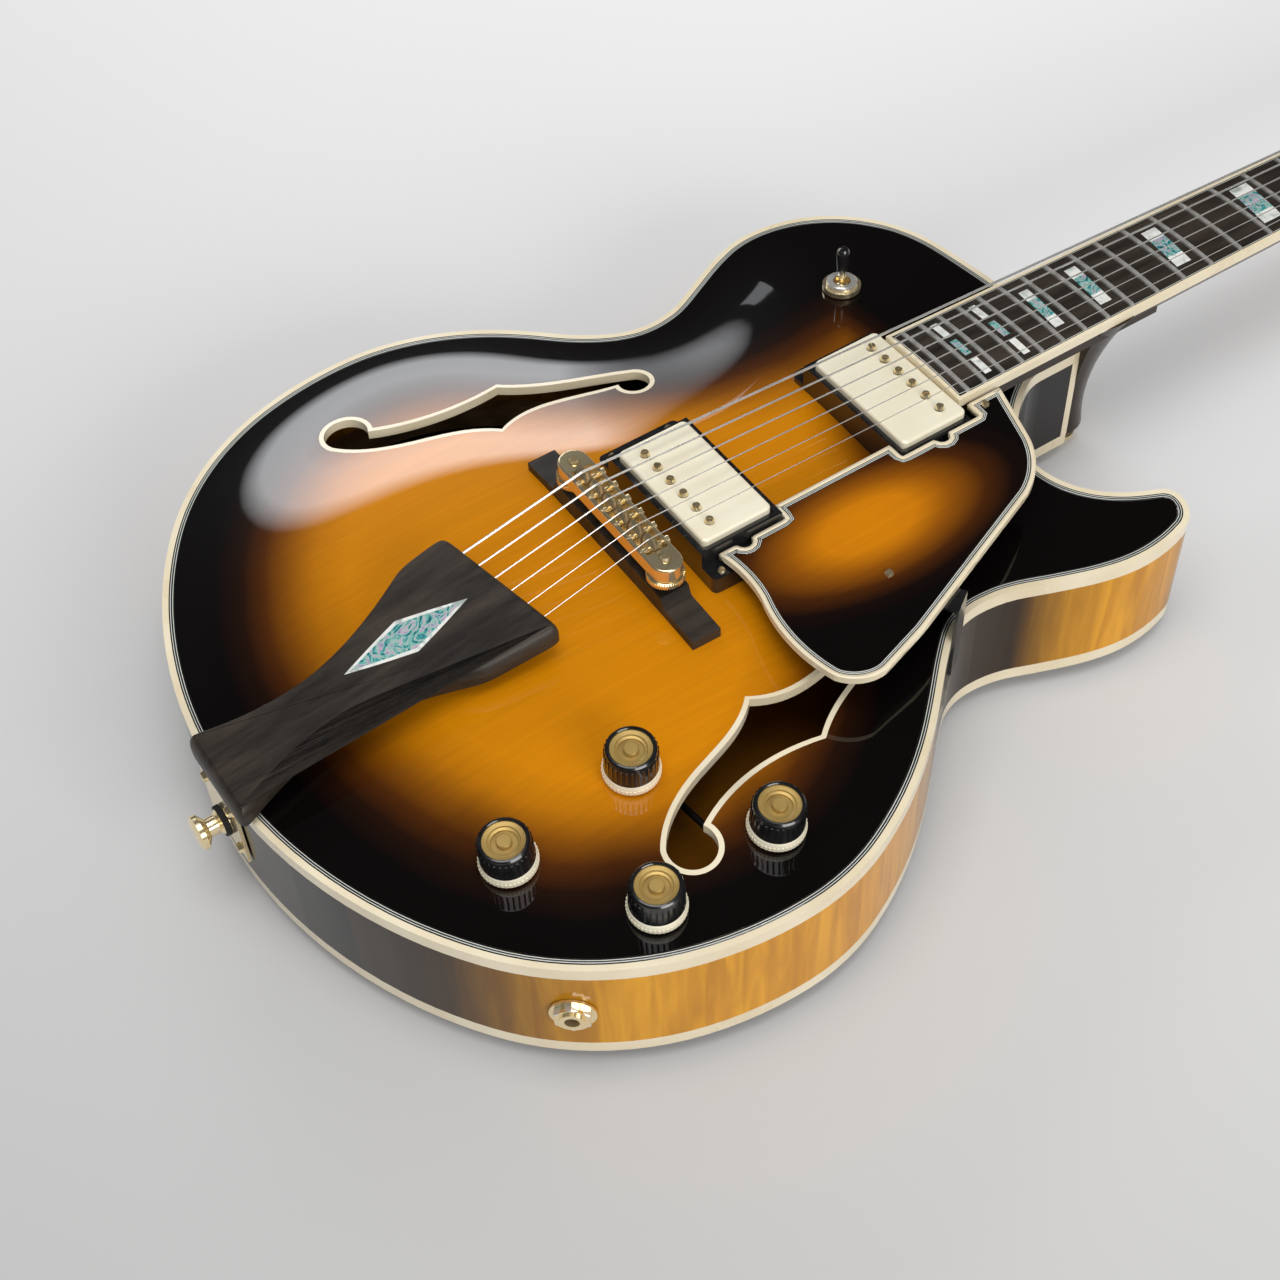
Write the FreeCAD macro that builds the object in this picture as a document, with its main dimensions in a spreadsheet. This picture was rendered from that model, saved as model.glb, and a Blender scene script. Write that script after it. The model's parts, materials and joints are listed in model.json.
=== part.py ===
import FreeCAD, Part
import math
import os
import re
import Sketcher
from FreeCAD import Placement, Rotation, Vector

# An archtop guitar with one rounded cutaway, two covered pickups and a wooden tailpiece.
# While it is drawn, x runs from the saddle line (0) to the nut, +y is the bass side and
# z = 0 is the plane of the top's edge. Every piece is then moved by HOME to the part's own frame.

SIZES = [
    # general
    ("scale_length", 648, "nut to saddle line"),
    ("overrun", 5, "how far a cutting shape runs past the face it cuts"),
    ("seat_gap", 0.3, "air between curved faces that must not touch"),
    ("running_gap", 0.05, "radial clearance of a turning fit"),
    # body
    ("body_length", 478, "tail end to neck end"),
    ("tail_reach", 210.5, "saddle line to tail end"),
    ("lower_half_width", 200, "half width of the lower bout"),
    ("waist_half_width", 130.5, "bass side of the waist"),
    ("waist_treble_half_width", 115, "treble side of the waist"),
    ("upper_half_width", 159, "bass side of the upper bout"),
    ("horn_half_width", 137, "treble side of the upper bout"),
    ("shoulder_half_width", 45, "where the bass shoulder meets the neck end"),
    ("heel_side", 14.5, "where the cutaway meets the neck end"),
    ("rim_depth", 65, "depth of the body at its edge"),
    ("top_arch", 12, "rise of the top above its edge"),
    ("back_arch", 10, "rise of the back beyond its edge"),
    ("arch_border", 9, "flat border round both plates"),
    ("arch_run", 126, "how far in from the edge the arch is full"),
    ("plate_thickness", 5, "top and back"),
    ("rib_thickness", 3, "bent side wood"),
    ("binding_height", 7, "edge binding, along the rib"),
    ("lining_width", 6, "strip that joins rib and plate"),
    ("lining_height", 14, "strip that joins rib and plate"),
    ("neck_block_length", 46, "block that holds the neck"),
    ("neck_block_width", 62, "block that holds the neck"),
    ("tail_block_length", 34, "block that holds the end pin"),
    ("tail_block_width", 68, "block that holds the end pin"),
    ("tone_bar_width", 8, "brace under the top"),
    ("tone_bar_height", 14, "brace under the top"),
    ("tone_bar_length", 300, "brace under the top"),
    # sound holes
    ("soundhole_start", -65, "lower eye, along the body"),
    ("soundhole_offset", 149, "lower eye, across the body"),
    ("soundhole_length", 136, "from eye to eye, along the body"),
    ("soundhole_lean", 52, "from eye to eye, across the body"),
    ("lower_eye_radius", 11, "eye towards the tail"),
    ("upper_eye_radius", 8, "eye towards the neck"),
    ("soundhole_binding", 2.4, "edge strip inside the sound hole"),
    # neck
    ("neck_angle", 1.4, "tilt of the fretboard, degrees"),
    ("nut_height", 17.5, "fretboard top at the nut above the body edge"),
    ("nut_width", 43, "fretboard at the nut"),
    ("board_end_width", 56, "fretboard at its body end"),
    ("board_end_reach", 174.5, "saddle line to the fretboard end"),
    ("board_thickness", 6, "fretboard"),
    ("board_radius", 305, "crown of the fretboard"),
    ("board_binding", 2, "strip round the fretboard"),
    ("neck_depth", 15, "neck wood under the fretboard at the nut"),
    ("neck_depth_gain", 3, "more of it at the heel"),
    ("heel_length", 40, "heel under the fretboard"),
    ("heel_foot_length", 19, "heel at the back"),
    ("heel_top_width", 51, "heel under the fretboard"),
    ("heel_foot_width", 28, "heel at the back"),
    ("heel_foot_lift", 6, "heel end above the back's edge"),
    ("tongue_thickness", 8, "neck wood over the body"),
    ("tenon_width", 20, "neck joint"),
    ("tenon_length", 24, "neck joint"),
    ("tenon_height", 36, "neck joint"),
    ("tenon_drop", 12, "neck joint under the top's edge"),
    ("nut_length", 5, "nut along the strings"),
    ("nut_rise", 3, "nut above the fretboard"),
    ("truss_rod_width", 6, "rod in the neck"),
    ("truss_rod_height", 8, "rod in the neck"),
    ("fret_width", 2.3, "fret crown"),
    ("fret_height", 1.1, "fret crown"),
    ("inlay_depth", 1.2, "inlays in the fretboard"),
    ("inlay_margin", 3.2, "block inlay to the frets beside it"),
    ("inlay_width", 30, "block inlay across the fretboard"),
    ("inlay_slant", 5, "skew of a block inlay"),
    ("bar_length", 12, "small bar inlay across the fretboard"),
    ("bar_width", 4, "small bar inlay along the fretboard"),
    ("bar_gap", 3, "between small bar inlays"),
    # headstock
    ("head_angle", 13, "tilt of the headstock from the neck, degrees"),
    ("head_length", 188, "headstock"),
    ("head_half_width", 38, "headstock at its widest"),
    ("head_thickness", 14, "headstock"),
    ("veneer_thickness", 2, "headstock front"),
    ("cover_plate_length", 38, "truss rod cover"),
    ("cover_plate_width", 22, "truss rod cover"),
    ("cover_plate_thickness", 2, "truss rod cover"),
    # tuners
    ("tuner_first", 40, "nut end of the headstock to the first post"),
    ("tuner_pitch", 41, "post to post"),
    ("tuner_offset", 24, "post to the headstock's centre line"),
    ("post_radius", 3, "string post"),
    ("post_height", 18, "string post above the headstock"),
    ("post_waist", 0.6, "depth of the string groove"),
    ("bushing_radius", 5, "post bushing"),
    ("bushing_flange", 7, "radius of the bushing's flange"),
    ("flange_thickness", 2, "bushing's flange"),
    ("housing_length", 21, "gear housing along the headstock"),
    ("housing_width", 15, "gear housing across the headstock"),
    ("housing_height", 10, "gear housing"),
    ("wheel_radius", 4.6, "worm wheel"),
    ("wheel_thickness", 3.4, "worm wheel"),
    ("worm_radius", 2.2, "worm and its shaft"),
    ("button_gap", 11, "housing to button"),
    ("button_length", 14, "tuner button along its shaft"),
    ("button_width", 19, "tuner button"),
    ("button_thickness", 7, "tuner button"),
    # strings
    ("nut_spread", 36, "outer strings at the nut"),
    ("saddle_spread", 52, "outer strings at the saddles"),
    ("tail_spread", 54, "outer strings at the tailpiece"),
    ("string_rise_nut", 2.2, "string above the fretboard at the nut"),
    ("string_rise_saddle", 7.4, "string above the fretboard's plane at the saddles"),
    ("thick_string_radius", 0.66, "lowest string"),
    ("thin_string_radius", 0.2, "highest string"),
    # tailpiece
    ("tailpiece_front_bass", 70, "saddle line to the front, bass corner"),
    ("tailpiece_front_treble", 56, "saddle line to the front, treble corner"),
    ("tailpiece_front_half", 40, "half width at the strings"),
    ("tailpiece_shoulder", 96, "saddle line to the shoulders"),
    ("tailpiece_shoulder_half", 37, "half width at the shoulders"),
    ("tailpiece_waist", 140, "saddle line to the waist"),
    ("tailpiece_waist_half", 18.5, "half width at the waist"),
    ("tailpiece_end_half", 30, "half width at the tail"),
    ("tailpiece_overhang", 4, "past the tail end"),
    ("tailpiece_thickness", 10, "tailpiece"),
    ("tailpiece_round", 3, "edge rounding"),
    ("tailpiece_end_height", 13.5, "top face at the tail above the body edge"),
    ("tailpiece_front_height", 32, "top face at the strings above the body edge"),
    ("tailpiece_string_inset", 16, "how far the strings run into the tailpiece"),
    ("string_hole_radius", 1.1, "holes for the strings in the tailpiece"),
    ("bracket_thickness", 1.6, "tail bracket plate"),
    ("bracket_width", 34, "tail bracket plate"),
    ("bracket_drop", 44, "tail bracket below the body edge"),
    ("bracket_tongue", 34, "tail bracket under the tailpiece"),
    ("pin_shank_radius", 3.5, "strap button"),
    ("pin_shank_length", 20, "strap button in the wood"),
    ("pin_head_radius", 8.5, "strap button"),
    ("pin_neck_radius", 4.5, "strap button"),
    ("pin_length", 15, "strap button outside the wood"),
    ("pin_drop", 30, "tail strap button below the body edge"),
    # bridge
    ("base_half_length", 68.5, "bridge base across the body"),
    ("base_width", 15, "bridge base along the body"),
    ("base_height", 10, "bridge base above the arch"),
    ("base_foot_height", 5, "bridge base at its ends"),
    ("base_scoop_half", 46, "where the ends of the base thin out"),
    ("stud_half_spacing", 37, "bridge stud to centre line"),
    ("stud_radius", 2.5, "bridge stud"),
    ("wheel_lift", 4, "thumbwheel above the base"),
    ("thumbwheel_radius", 8.8, "thumbwheel"),
    ("thumbwheel_thickness", 4, "thumbwheel"),
    ("frame_length", 90, "bridge frame across the strings"),
    ("frame_width", 15, "bridge frame along the strings"),
    ("frame_height", 7.5, "bridge frame"),
    ("frame_round", 1, "bridge frame's upper edge"),
    ("frame_wall", 2, "bridge frame around the saddles"),
    ("frame_floor", 2, "bridge frame under the saddles"),
    ("saddle_pitch_gap", 1, "between neighbour saddles"),
    ("saddle_length", 4.6, "saddle along the string"),
    ("saddle_notch", 1, "string notch in a saddle"),
    ("saddle_setback", 1.6, "from the foremost to the rearmost saddle"),
    ("saddle_screw_radius", 1.2, "intonation screw"),
    ("saddle_screw_head", 2, "intonation screw's head"),
    # pickups
    ("bridge_pickup_reach", 40.3, "saddle line to the bridge pickup"),
    ("cover_length", 70, "pickup cover across the strings"),
    ("cover_width", 38.3, "pickup cover along the strings"),
    ("cover_height", 17, "pickup cover"),
    ("cover_wall", 0.8, "pickup cover"),
    ("cover_corner", 3, "pickup cover's upright corners"),
    ("cover_round", 1.5, "pickup cover's top edges"),
    ("neck_pickup_top", 27, "cover top above the body edge"),
    ("bridge_pickup_top", 32, "cover top above the body edge"),
    ("cover_above_ring", 3.5, "cover above its ring"),
    ("board_to_cover", 0.8, "fretboard end to the neck pickup"),
    ("ring_wall", 3.2, "pickup ring beside the cover"),
    ("ring_end", 13, "pickup ring past the cover's end"),
    ("ring_end_rise", 8, "low ends of the ring above the top"),
    ("ring_corner", 3, "pickup ring's corners"),
    ("pole_radius", 2.4, "pole screw"),
    ("pole_offset", 9.5, "pole screws to the cover's centre line"),
    ("pole_rise", 0.4, "pole screw above the cover"),
    # pickguard
    ("guard_height", 21.5, "under the pickguard, above the body edge"),
    ("guard_thickness", 3.4, "pickguard"),
    ("guard_string_side", 30, "pickguard's inner edge to the centre line"),
    ("guard_outer", 135, "pickguard's widest place to the centre line"),
    ("guard_neck_reach", 198, "saddle line to the pickguard's neck corner"),
    ("guard_tail_reach", 22, "saddle line to the pickguard's tail edge"),
    ("guard_fit", 1.2, "pickguard to the pickup rings and fretboard"),
    ("guard_ear_radius", 4.2, "notch at each ring's screw"),
    ("guard_bracket_reach", 98, "saddle line to the pickguard's bracket"),
    ("guard_bracket_width", 13, "pickguard's bracket"),
    ("guard_bracket_thickness", 1.6, "pickguard's bracket"),
    ("guard_bracket_drop", 16, "bracket on the rib below the binding"),
    ("guard_bracket_inset", 26, "bracket under the pickguard"),
    # controls
    ("knob_flange_radius", 13.5, "knob's lower flange"),
    ("knob_flange_height", 5.5, "knob's lower flange"),
    ("knob_grip_radius", 12, "knob's grip"),
    ("knob_height", 20, "knob above the top"),
    ("knob_lift", 1.6, "under the knob"),
    ("knob_recess_radius", 8.6, "dish in the knob's top"),
    ("knob_recess_depth", 3.2, "dish in the knob's top"),
    ("knob_boss_radius", 4, "boss in the dish"),
    ("knob_boss_height", 1.6, "boss in the dish"),
    ("knob_cavity_radius", 8.5, "hollow under the knob"),
    ("knob_cavity_height", 8, "hollow under the knob"),
    ("shaft_radius", 3, "pot shaft"),
    ("shaft_depth", 12, "pot shaft below the top's face"),
    ("pot_radius", 12, "pot can"),
    ("pot_height", 10, "pot can"),
    ("pot_clearance", 0.8, "pot can to the plate"),
    ("pot_bushing_radius", 4.7, "pot bushing"),
    ("pot_bushing_height", 6, "pot bushing above the top"),
    ("pot_nut_radius", 7.2, "pot nut"),
    ("pot_nut_height", 2.4, "pot nut"),
    ("switch_reach", 197, "saddle line to the switch"),
    ("switch_offset", 91, "switch to the centre line"),
    ("switch_can_radius", 9, "switch under the top"),
    ("switch_can_height", 24, "switch under the top"),
    ("switch_bushing_radius", 5.8, "switch bushing"),
    ("switch_bushing_height", 5, "switch bushing above the top"),
    ("switch_nut_radius", 10, "switch washer and nut"),
    ("switch_nut_height", 2.6, "switch washer and nut"),
    ("switch_bore_radius", 4.2, "lever opening"),
    ("lever_radius", 1.7, "switch lever"),
    ("lever_pin_radius", 0.8, "pin that the switch lever tips on"),
    ("lever_length", 25, "switch lever above its pivot"),
    ("lever_depth", 6, "switch lever under its pivot"),
    ("lever_tip_radius", 3.3, "switch tip"),
    ("lever_tip_length", 13, "switch tip"),
    ("jack_reach", 138, "saddle line to the jack, towards the tail"),
    ("jack_drop", 32, "jack below the body edge"),
    ("jack_bore_radius", 3.25, "for a 6.35 mm plug"),
    ("jack_barrel_radius", 5.5, "jack barrel"),
    ("jack_barrel_length", 24, "jack barrel inside the rib's outer face"),
    ("jack_washer_radius", 10, "jack washer"),
    ("jack_washer_thickness", 1.2, "jack washer"),
    ("jack_nut_radius", 7.6, "jack nut"),
    ("jack_nut_height", 3, "jack nut"),
    ("jack_fit", 0.2, "jack barrel in the rib"),
    ("cable_radius", 1.6, "screened cable"),
]

STRING_COUNT = 6
FRET_COUNT = 22
TUNERS_PER_SIDE = 3

# Outline points as (share of the body length from the tail, share of a half width).
LOWER_BOUT_SHARES = [(0.051, 0.525), (0.162, 0.858), (0.357, 1.0), (0.526, 0.85), (0.600, 0.698)]
WIDEST_SHARE = 0.357
WAIST_SHARE = 0.656
UPPER_BOUT_SHARES = [(0.754, 0.931), (0.832, 1.0), (0.915, 0.931), (0.976, 0.723), (0.997, 0.415)]
UPPER_WIDEST_SHARE = 0.832
WAIST_TREBLE_SHARE = 0.685
HORN_SHARES = [(0.790, 0.949), (0.862, 1.0), (0.938, 0.854), (0.905, 0.755), (0.851, 0.453), (0.898, 0.187)]
HORN_WIDEST_SHARE = 0.862
HORN_TIP_SHARE = 0.938
CUTAWAY_SHARE = 0.851
HEEL_RUN_SHARE = 0.948

# Sound hole edges as shares of its length and lean, counted from the lower eye.
INNER_LOWER_SHARES = [(-0.007, 0.279), (0.14, 0.49), (0.294, 0.625), (0.46, 0.885)]
INNER_UPPER_SHARES = [(0.46, 0.885), (0.64, 0.78), (0.81, 0.865)]
OUTER_UPPER_SHARES = [(0.89, 0.71), (0.72, 0.53), (0.574, 0.288)]
OUTER_LOWER_SHARES = [(0.574, 0.288), (0.36, 0.327), (0.184, 0.24)]

# Where the leaf leaves each eye, and a place between, in degrees round the eye.
LOWER_EYE_DEGREES = (-30, 90, 205)
UPPER_EYE_DEGREES = (160, 280, 420)

# Knob places as shares of the tail reach and of the lower half width, on the treble side.
KNOB_NAMES = ["neck_volume_knob", "neck_tone_knob", "bridge_tone_knob", "bridge_volume_knob"]
KNOB_SHARES = [(-0.314, -0.530), (-0.147, -0.805), (-0.442, -0.822), (-0.622, -0.560)]

# How far each saddle is set back, as a share of the saddle setback, lowest string first.
SETBACK_SHARES = [1.0, 0.7, 0.4, 0.75, 0.4, 0.0]

# Headstock edge as shares of its length and of its half width.
HEAD_SHARES = [(0.16, 0.84), (0.80, 1.0), (0.95, 0.90)]

# Pickguard edge from its tail tip round to the neck, as shares of its length and of its outer reach.
# Four numbers are a corner and a place that the arc after it passes through.
GUARD_SHARES = [(0.025, 0.292, 0.036, 0.40), (0.026, 0.53, 0.0, 0.74), (0.022, 0.925, 0.07, 0.985),
                (0.14, 1.0), (0.29, 0.94), (0.80, 0.675, 0.885, 0.59), (0.94, 0.47)]

BLOCK_INLAY_FRETS = [1, 3, 5, 7, 9, 12, 15, 17]
BAR_INLAY_FRETS = [19, 21]

# A span that turns less than this is drawn as a line.
STRAIGHT_DEGREES = 0.01

UP = Vector(0, 0, 1)
ACROSS = Vector(0, 1, 0)

doc = FreeCAD.newDocument("archtop_guitar")
sheet = doc.addObject("Spreadsheet::Sheet", "sizes")
for row, (alias, number, meaning) in enumerate(SIZES, start=1):
    sheet.set("A%d" % row, alias)
    sheet.set("B%d" % row, str(number))
    sheet.setAlias("B%d" % row, alias)
    sheet.set("C%d" % row, meaning)
doc.recompute()

ALIASES = {alias for alias, number, meaning in SIZES}
parts = []


def size(alias):
    """One number of the sheet."""
    return float(sheet.get(alias))


def bound(text):
    """The same formula with each alias read from the sheet."""
    return re.sub(r"[a-z][a-z_]*", lambda word: "sizes." + word.group(0) if word.group(0) in ALIASES else word.group(0), text)


def value(text):
    """What a formula of aliases comes to."""
    return float(sheet.evalExpression(bound(text)))


# Sketches and features bound to the sheet


def new_body(label):
    body = doc.addObject("PartDesign::Body", label)
    body.Label = label
    return body


def new_sketch(body, name, plane, height="0"):
    """A sketch on one of the body's own origin planes, lifted from it by a formula."""
    sketch = body.newObject("Sketcher::SketchObject", name)
    support = next(item for item in body.Origin.OriginFeatures if item.Role == plane)
    sketch.AttachmentSupport = (support, [""])
    sketch.MapMode = "FlatFace"
    if height != "0":
        sketch.setExpression("AttachmentOffset.Base.z", bound(height))
    return sketch


def pin(sketch, geometry, vertex, x_text, y_text):
    """Hold one vertex at a place given by two formulas."""
    for kind, text, axis in (("DistanceX", x_text, -2), ("DistanceY", y_text, -1)):
        if text == "0":
            sketch.addConstraint(Sketcher.Constraint("PointOnObject", geometry, vertex, axis))
        else:
            index = sketch.addConstraint(Sketcher.Constraint(kind, -1, 1, geometry, vertex, value(text)))
            sketch.setExpression("Constraints[%d]" % index, bound(text))


def draw_profile(sketch, corners):
    """A closed outline. A corner is (x, y), or (x, y, x, y) where an arc through the second place follows."""
    places = [Vector(value(corner[0]), value(corner[1]), 0) for corner in corners]
    edges = []
    for index, corner in enumerate(corners):
        start = places[index]
        end = places[(index + 1) % len(places)]
        if len(corner) == 4:
            middle = Vector(value(corner[2]), value(corner[3]), 0)
            edge = sketch.addGeometry(Part.Arc(start, middle, end), False)
            through = sketch.addGeometry(Part.Point(middle), True)
            pin(sketch, through, 1, corner[2], corner[3])
            sketch.addConstraint(Sketcher.Constraint("PointOnObject", through, 1, edge))
        else:
            edge = sketch.addGeometry(Part.LineSegment(start, end), False)
        forward = sketch.getPoint(edge, 1).distanceToPoint(start) <= sketch.getPoint(edge, 2).distanceToPoint(start)
        edges.append((edge, 1, 2) if forward else (edge, 2, 1))
    for index, (edge, first, last) in enumerate(edges):
        after, after_first, after_last = edges[(index + 1) % len(edges)]
        sketch.addConstraint(Sketcher.Constraint("Coincident", edge, last, after, after_first))
        pin(sketch, edge, first, corners[index][0], corners[index][1])


def draw_circle(sketch, x_text, y_text, radius_text):
    centre = Vector(value(x_text), value(y_text), 0)
    circle = sketch.addGeometry(Part.Circle(centre, UP, value(radius_text)), False)
    pin(sketch, circle, 3, x_text, y_text)
    index = sketch.addConstraint(Sketcher.Constraint("Radius", circle, value(radius_text)))
    sketch.setExpression("Constraints[%d]" % index, bound(radius_text))


def draw_rectangle(sketch, length_text, width_text):
    """A rectangle about the sketch's origin."""
    long_half = "(%s) / 2" % length_text
    short_half = "(%s) / 2" % width_text
    draw_profile(sketch, [("-" + long_half, "-" + short_half), (long_half, "-" + short_half),
                          (long_half, short_half), ("-" + long_half, short_half)])


def pad(body, sketch, length_text, symmetric=False, reversed_side=False):
    feature = body.newObject("PartDesign::Pad", "pad")
    feature.Profile = sketch
    feature.setExpression("Length", bound(length_text))
    feature.SideType = "Symmetric" if symmetric else "One side"
    feature.Reversed = reversed_side
    doc.recompute()
    return feature


def pocket(body, sketch, length_text, symmetric=False, reversed_side=False):
    before = body.Shape.Volume
    feature = body.newObject("PartDesign::Pocket", "pocket")
    feature.Profile = sketch
    feature.setExpression("Length", bound(length_text))
    feature.SideType = "Symmetric" if symmetric else "One side"
    feature.Reversed = reversed_side
    doc.recompute()
    if not body.Shape.Volume < before:
        raise ValueError("a pocket of %s cuts nothing" % body.Label)
    return feature


def revolve(body, corners):
    """A solid of revolution about z, from corners given as (radius, height)."""
    sketch = new_sketch(body, "half_section", "XZ_Plane")
    draw_profile(sketch, corners)
    feature = body.newObject("PartDesign::Revolution", "revolution")
    feature.Profile = sketch
    feature.ReferenceAxis = (sketch, ["V_Axis"])
    doc.recompute()
    return feature


def fillet(body, base, wanted, radius_text):
    """Round the edges of a feature that the test picks."""
    names = ["Edge%d" % (index + 1) for index, edge in enumerate(base.Shape.Edges) if wanted(edge)]
    feature = body.newObject("PartDesign::Fillet", "fillet")
    feature.Base = (base, names)
    feature.setExpression("Radius", bound(radius_text))
    doc.recompute()
    return feature


def upright(edge):
    """True for a straight edge along z."""
    first, last = edge.Vertexes[0].Point, edge.Vertexes[-1].Point
    return len(edge.Vertexes) == 2 and abs(first.z - last.z) > 0.99 * edge.Length


def at_height(height):
    """A test for edges that lie in one level plane."""
    return lambda edge: abs(edge.BoundBox.ZMin - height) + abs(edge.BoundBox.ZMax - height) < size("running_gap")


def place(item, label, placement):
    """Name a piece and set it in the part's frame."""
    item.Label = label
    item.Placement = HOME.multiply(placement)
    parts.append(item)
    return item


def add_shape(label, shape):
    """A piece whose shape is worked out here, already in the drawing frame."""
    feature = doc.addObject("Part::Feature", label)
    feature.Shape = shape
    return place(feature, label, feature.Placement)


def copies(body, placements):
    """One solid of a body at each placement, as a group."""
    solids = []
    for placement in placements:
        solid = body.Shape.copy()
        solid.Placement = placement.multiply(body.Placement.inverse()).multiply(solid.Placement)
        solids.append(solid)
    return Part.makeCompound(solids)


def box(low, high):
    """A box between two opposite corners."""
    return Part.makeBox(high.x - low.x, high.y - low.y, high.z - low.z, low)


def prism(wire, low, high):
    """A level outline drawn at z = 0, raised between two heights."""
    face = Part.Face(wire)
    face.translate(Vector(0, 0, low))
    return face.extrude(Vector(0, 0, high - low))


def ring(outer, inner, low, high):
    """The band between two level outlines, raised between two heights."""
    face = Part.makeFace([outer, inner], "Part::FaceMakerBullseye")
    face.translate(Vector(0, 0, low))
    return face.extrude(Vector(0, 0, high - low))


# The three frames: body, neck and headstock

NECK_END = size("body_length") - size("tail_reach")
BACK_EDGE = -size("rim_depth")
NECK_FRAME = Placement(Vector(size("scale_length"), 0, size("nut_height")), Rotation(ACROSS, size("neck_angle")))
HEAD_START = Vector(size("nut_length"), 0, -size("board_thickness"))
HEAD_FRAME = NECK_FRAME.multiply(Placement(HEAD_START, Rotation(ACROSS, size("head_angle"))))
HEAD_TIP = HEAD_FRAME.multVec(Vector(size("head_length"), 0, 0)).x
PIN_END = -size("tail_reach") - size("bracket_thickness") - size("pin_length")
HOME = Placement(Vector(-(HEAD_TIP + PIN_END) / 2, 0, size("rim_depth") + size("back_arch")), Rotation())


def board_distance(x):
    """A place along the neck, given as its distance from the nut towards the body."""
    return size("scale_length") - x


def board_half_width(distance):
    """Half the fretboard's width at a distance from the nut."""
    full = size("scale_length") - size("board_end_reach")
    share = distance / full
    return (size("nut_width") + (size("board_end_width") - size("nut_width")) * share) / 2


def fret_distance(fret):
    """Distance of a fret from the nut, by the rule of equal temperament."""
    return size("scale_length") * (1 - 2 ** (-fret / 12))


# Body outline


def station(share):
    """A place along the body, from a share of its length."""
    return share * size("body_length") - size("tail_reach")


def body_curve():
    """The edge from the bass shoulder round the tail to the cutaway, as one smooth curve."""
    lower = size("lower_half_width")
    horn = size("horn_half_width")
    points = [Vector(NECK_END, size("shoulder_half_width"), 0)]
    headings = {0: Vector(0, 1, 0)}

    def add(along, across, heading=None):
        if heading is not None:
            headings[len(points)] = heading
        points.append(Vector(along, across, 0))

    for share, half in reversed(UPPER_BOUT_SHARES):
        add(station(share), half * size("upper_half_width"), Vector(-1, 0, 0) if share == UPPER_WIDEST_SHARE else None)
    add(station(WAIST_SHARE), size("waist_half_width"), Vector(-1, 0, 0))
    for share, half in reversed(LOWER_BOUT_SHARES):
        add(station(share), half * lower, Vector(-1, 0, 0) if share == WIDEST_SHARE else None)
    add(-size("tail_reach"), 0, Vector(0, -1, 0))
    for share, half in LOWER_BOUT_SHARES:
        add(station(share), -half * lower, Vector(1, 0, 0) if share == WIDEST_SHARE else None)
    add(station(WAIST_TREBLE_SHARE), -size("waist_treble_half_width"), Vector(1, 0, 0))
    horn_headings = {HORN_WIDEST_SHARE: Vector(1, 0, 0), HORN_TIP_SHARE: Vector(0, 1, 0), CUTAWAY_SHARE: Vector(0, 1, 0)}
    for share, half in HORN_SHARES:
        add(station(share), -half * horn, horn_headings.get(share))
    add(station(HEEL_RUN_SHARE), -size("heel_side"), Vector(1, 0, 0))
    add(NECK_END, -size("heel_side"), Vector(1, 0, 0))
    lengths = [0.0]
    for first, last in zip(points, points[1:]):
        lengths.append(lengths[-1] + first.distanceToPoint(last))
    curve = Part.BSplineCurve()
    curve.interpolate(Points=points, Parameters=lengths, Scale=False,
                      Tangents=[headings.get(index, Vector(0, 0, 0)) for index in range(len(points))],
                      TangentFlags=[index in headings for index in range(len(points))])
    return curve, lengths


def biarc_joint(first, first_heading, last, last_heading):
    """Where two arcs meet that join two points with given headings, and the heading there."""
    span = last - first
    lean = span.dot(first_heading + last_heading)
    spread = 2 * (1 - first_heading.dot(last_heading))
    reach = span.dot(span) / (lean + math.sqrt(lean ** 2 + spread * span.dot(span)))
    before = first + first_heading * reach
    after = last - last_heading * reach
    return (before + after) / 2, (after - before).normalize()


def body_arcs():
    """The body edge as a chain of arcs, each given by its two ends and the headings there."""
    curve, lengths = body_curve()
    arcs = []
    for low, high in zip(lengths, lengths[1:]):
        first, last = curve.value(low), curve.value(high)
        first_heading, last_heading = curve.tangent(low)[0], curve.tangent(high)[0]
        joint, heading = biarc_joint(first, first_heading, last, last_heading)
        arcs.append((first, first_heading, joint, heading))
        arcs.append((joint, heading, last, last_heading))
    return arcs


OUTLINE = body_arcs()


def inward(heading):
    return Vector(-heading.y, heading.x, 0)


def line(first, last):
    return Part.LineSegment(first, last).toShape()


def arc_edge(first, heading, last):
    """An arc that leaves a point with a heading and ends at another, or a line where it doesn't turn."""
    chord = last - first
    turn = math.atan2(chord.x * heading.y - chord.y * heading.x, chord.dot(heading))
    if abs(math.degrees(turn)) < STRAIGHT_DEGREES:
        return line(first, last)
    middle = (first + last) / 2 - inward(chord) / 2 * math.tan(-turn / 2)
    return Part.Arc(first, middle, last).toShape()


def inset_wire(distance):
    """The body outline moved inwards, closed across the neck end."""
    edges = []
    for first, first_heading, last, last_heading in OUTLINE[:-2]:
        edges.append(arc_edge(first + inward(first_heading) * distance, first_heading,
                              last + inward(last_heading) * distance))
    corner = Vector(NECK_END - distance, distance - size("heel_side"), 0)
    edges.append(line(edges[-1].Vertexes[-1].Point, corner))
    edges.append(line(corner, Vector(NECK_END - distance, size("shoulder_half_width"), 0)))
    return Part.Wire(edges)


def outer_wire():
    return inset_wire(0)


def rib_station(reach):
    """Point and outward direction of the treble rib at a distance from the saddle line."""
    probe = line(Vector(reach, 0, 0), Vector(reach, -2 * size("lower_half_width"), 0))
    point = outer_wire().distToShape(probe)[1][0][0]
    inner_point = inset_wire(size("rib_thickness")).distToShape(Part.Vertex(point))[1][0][0]
    return point, (point - inner_point).normalize()


# Arching of top and back

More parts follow.
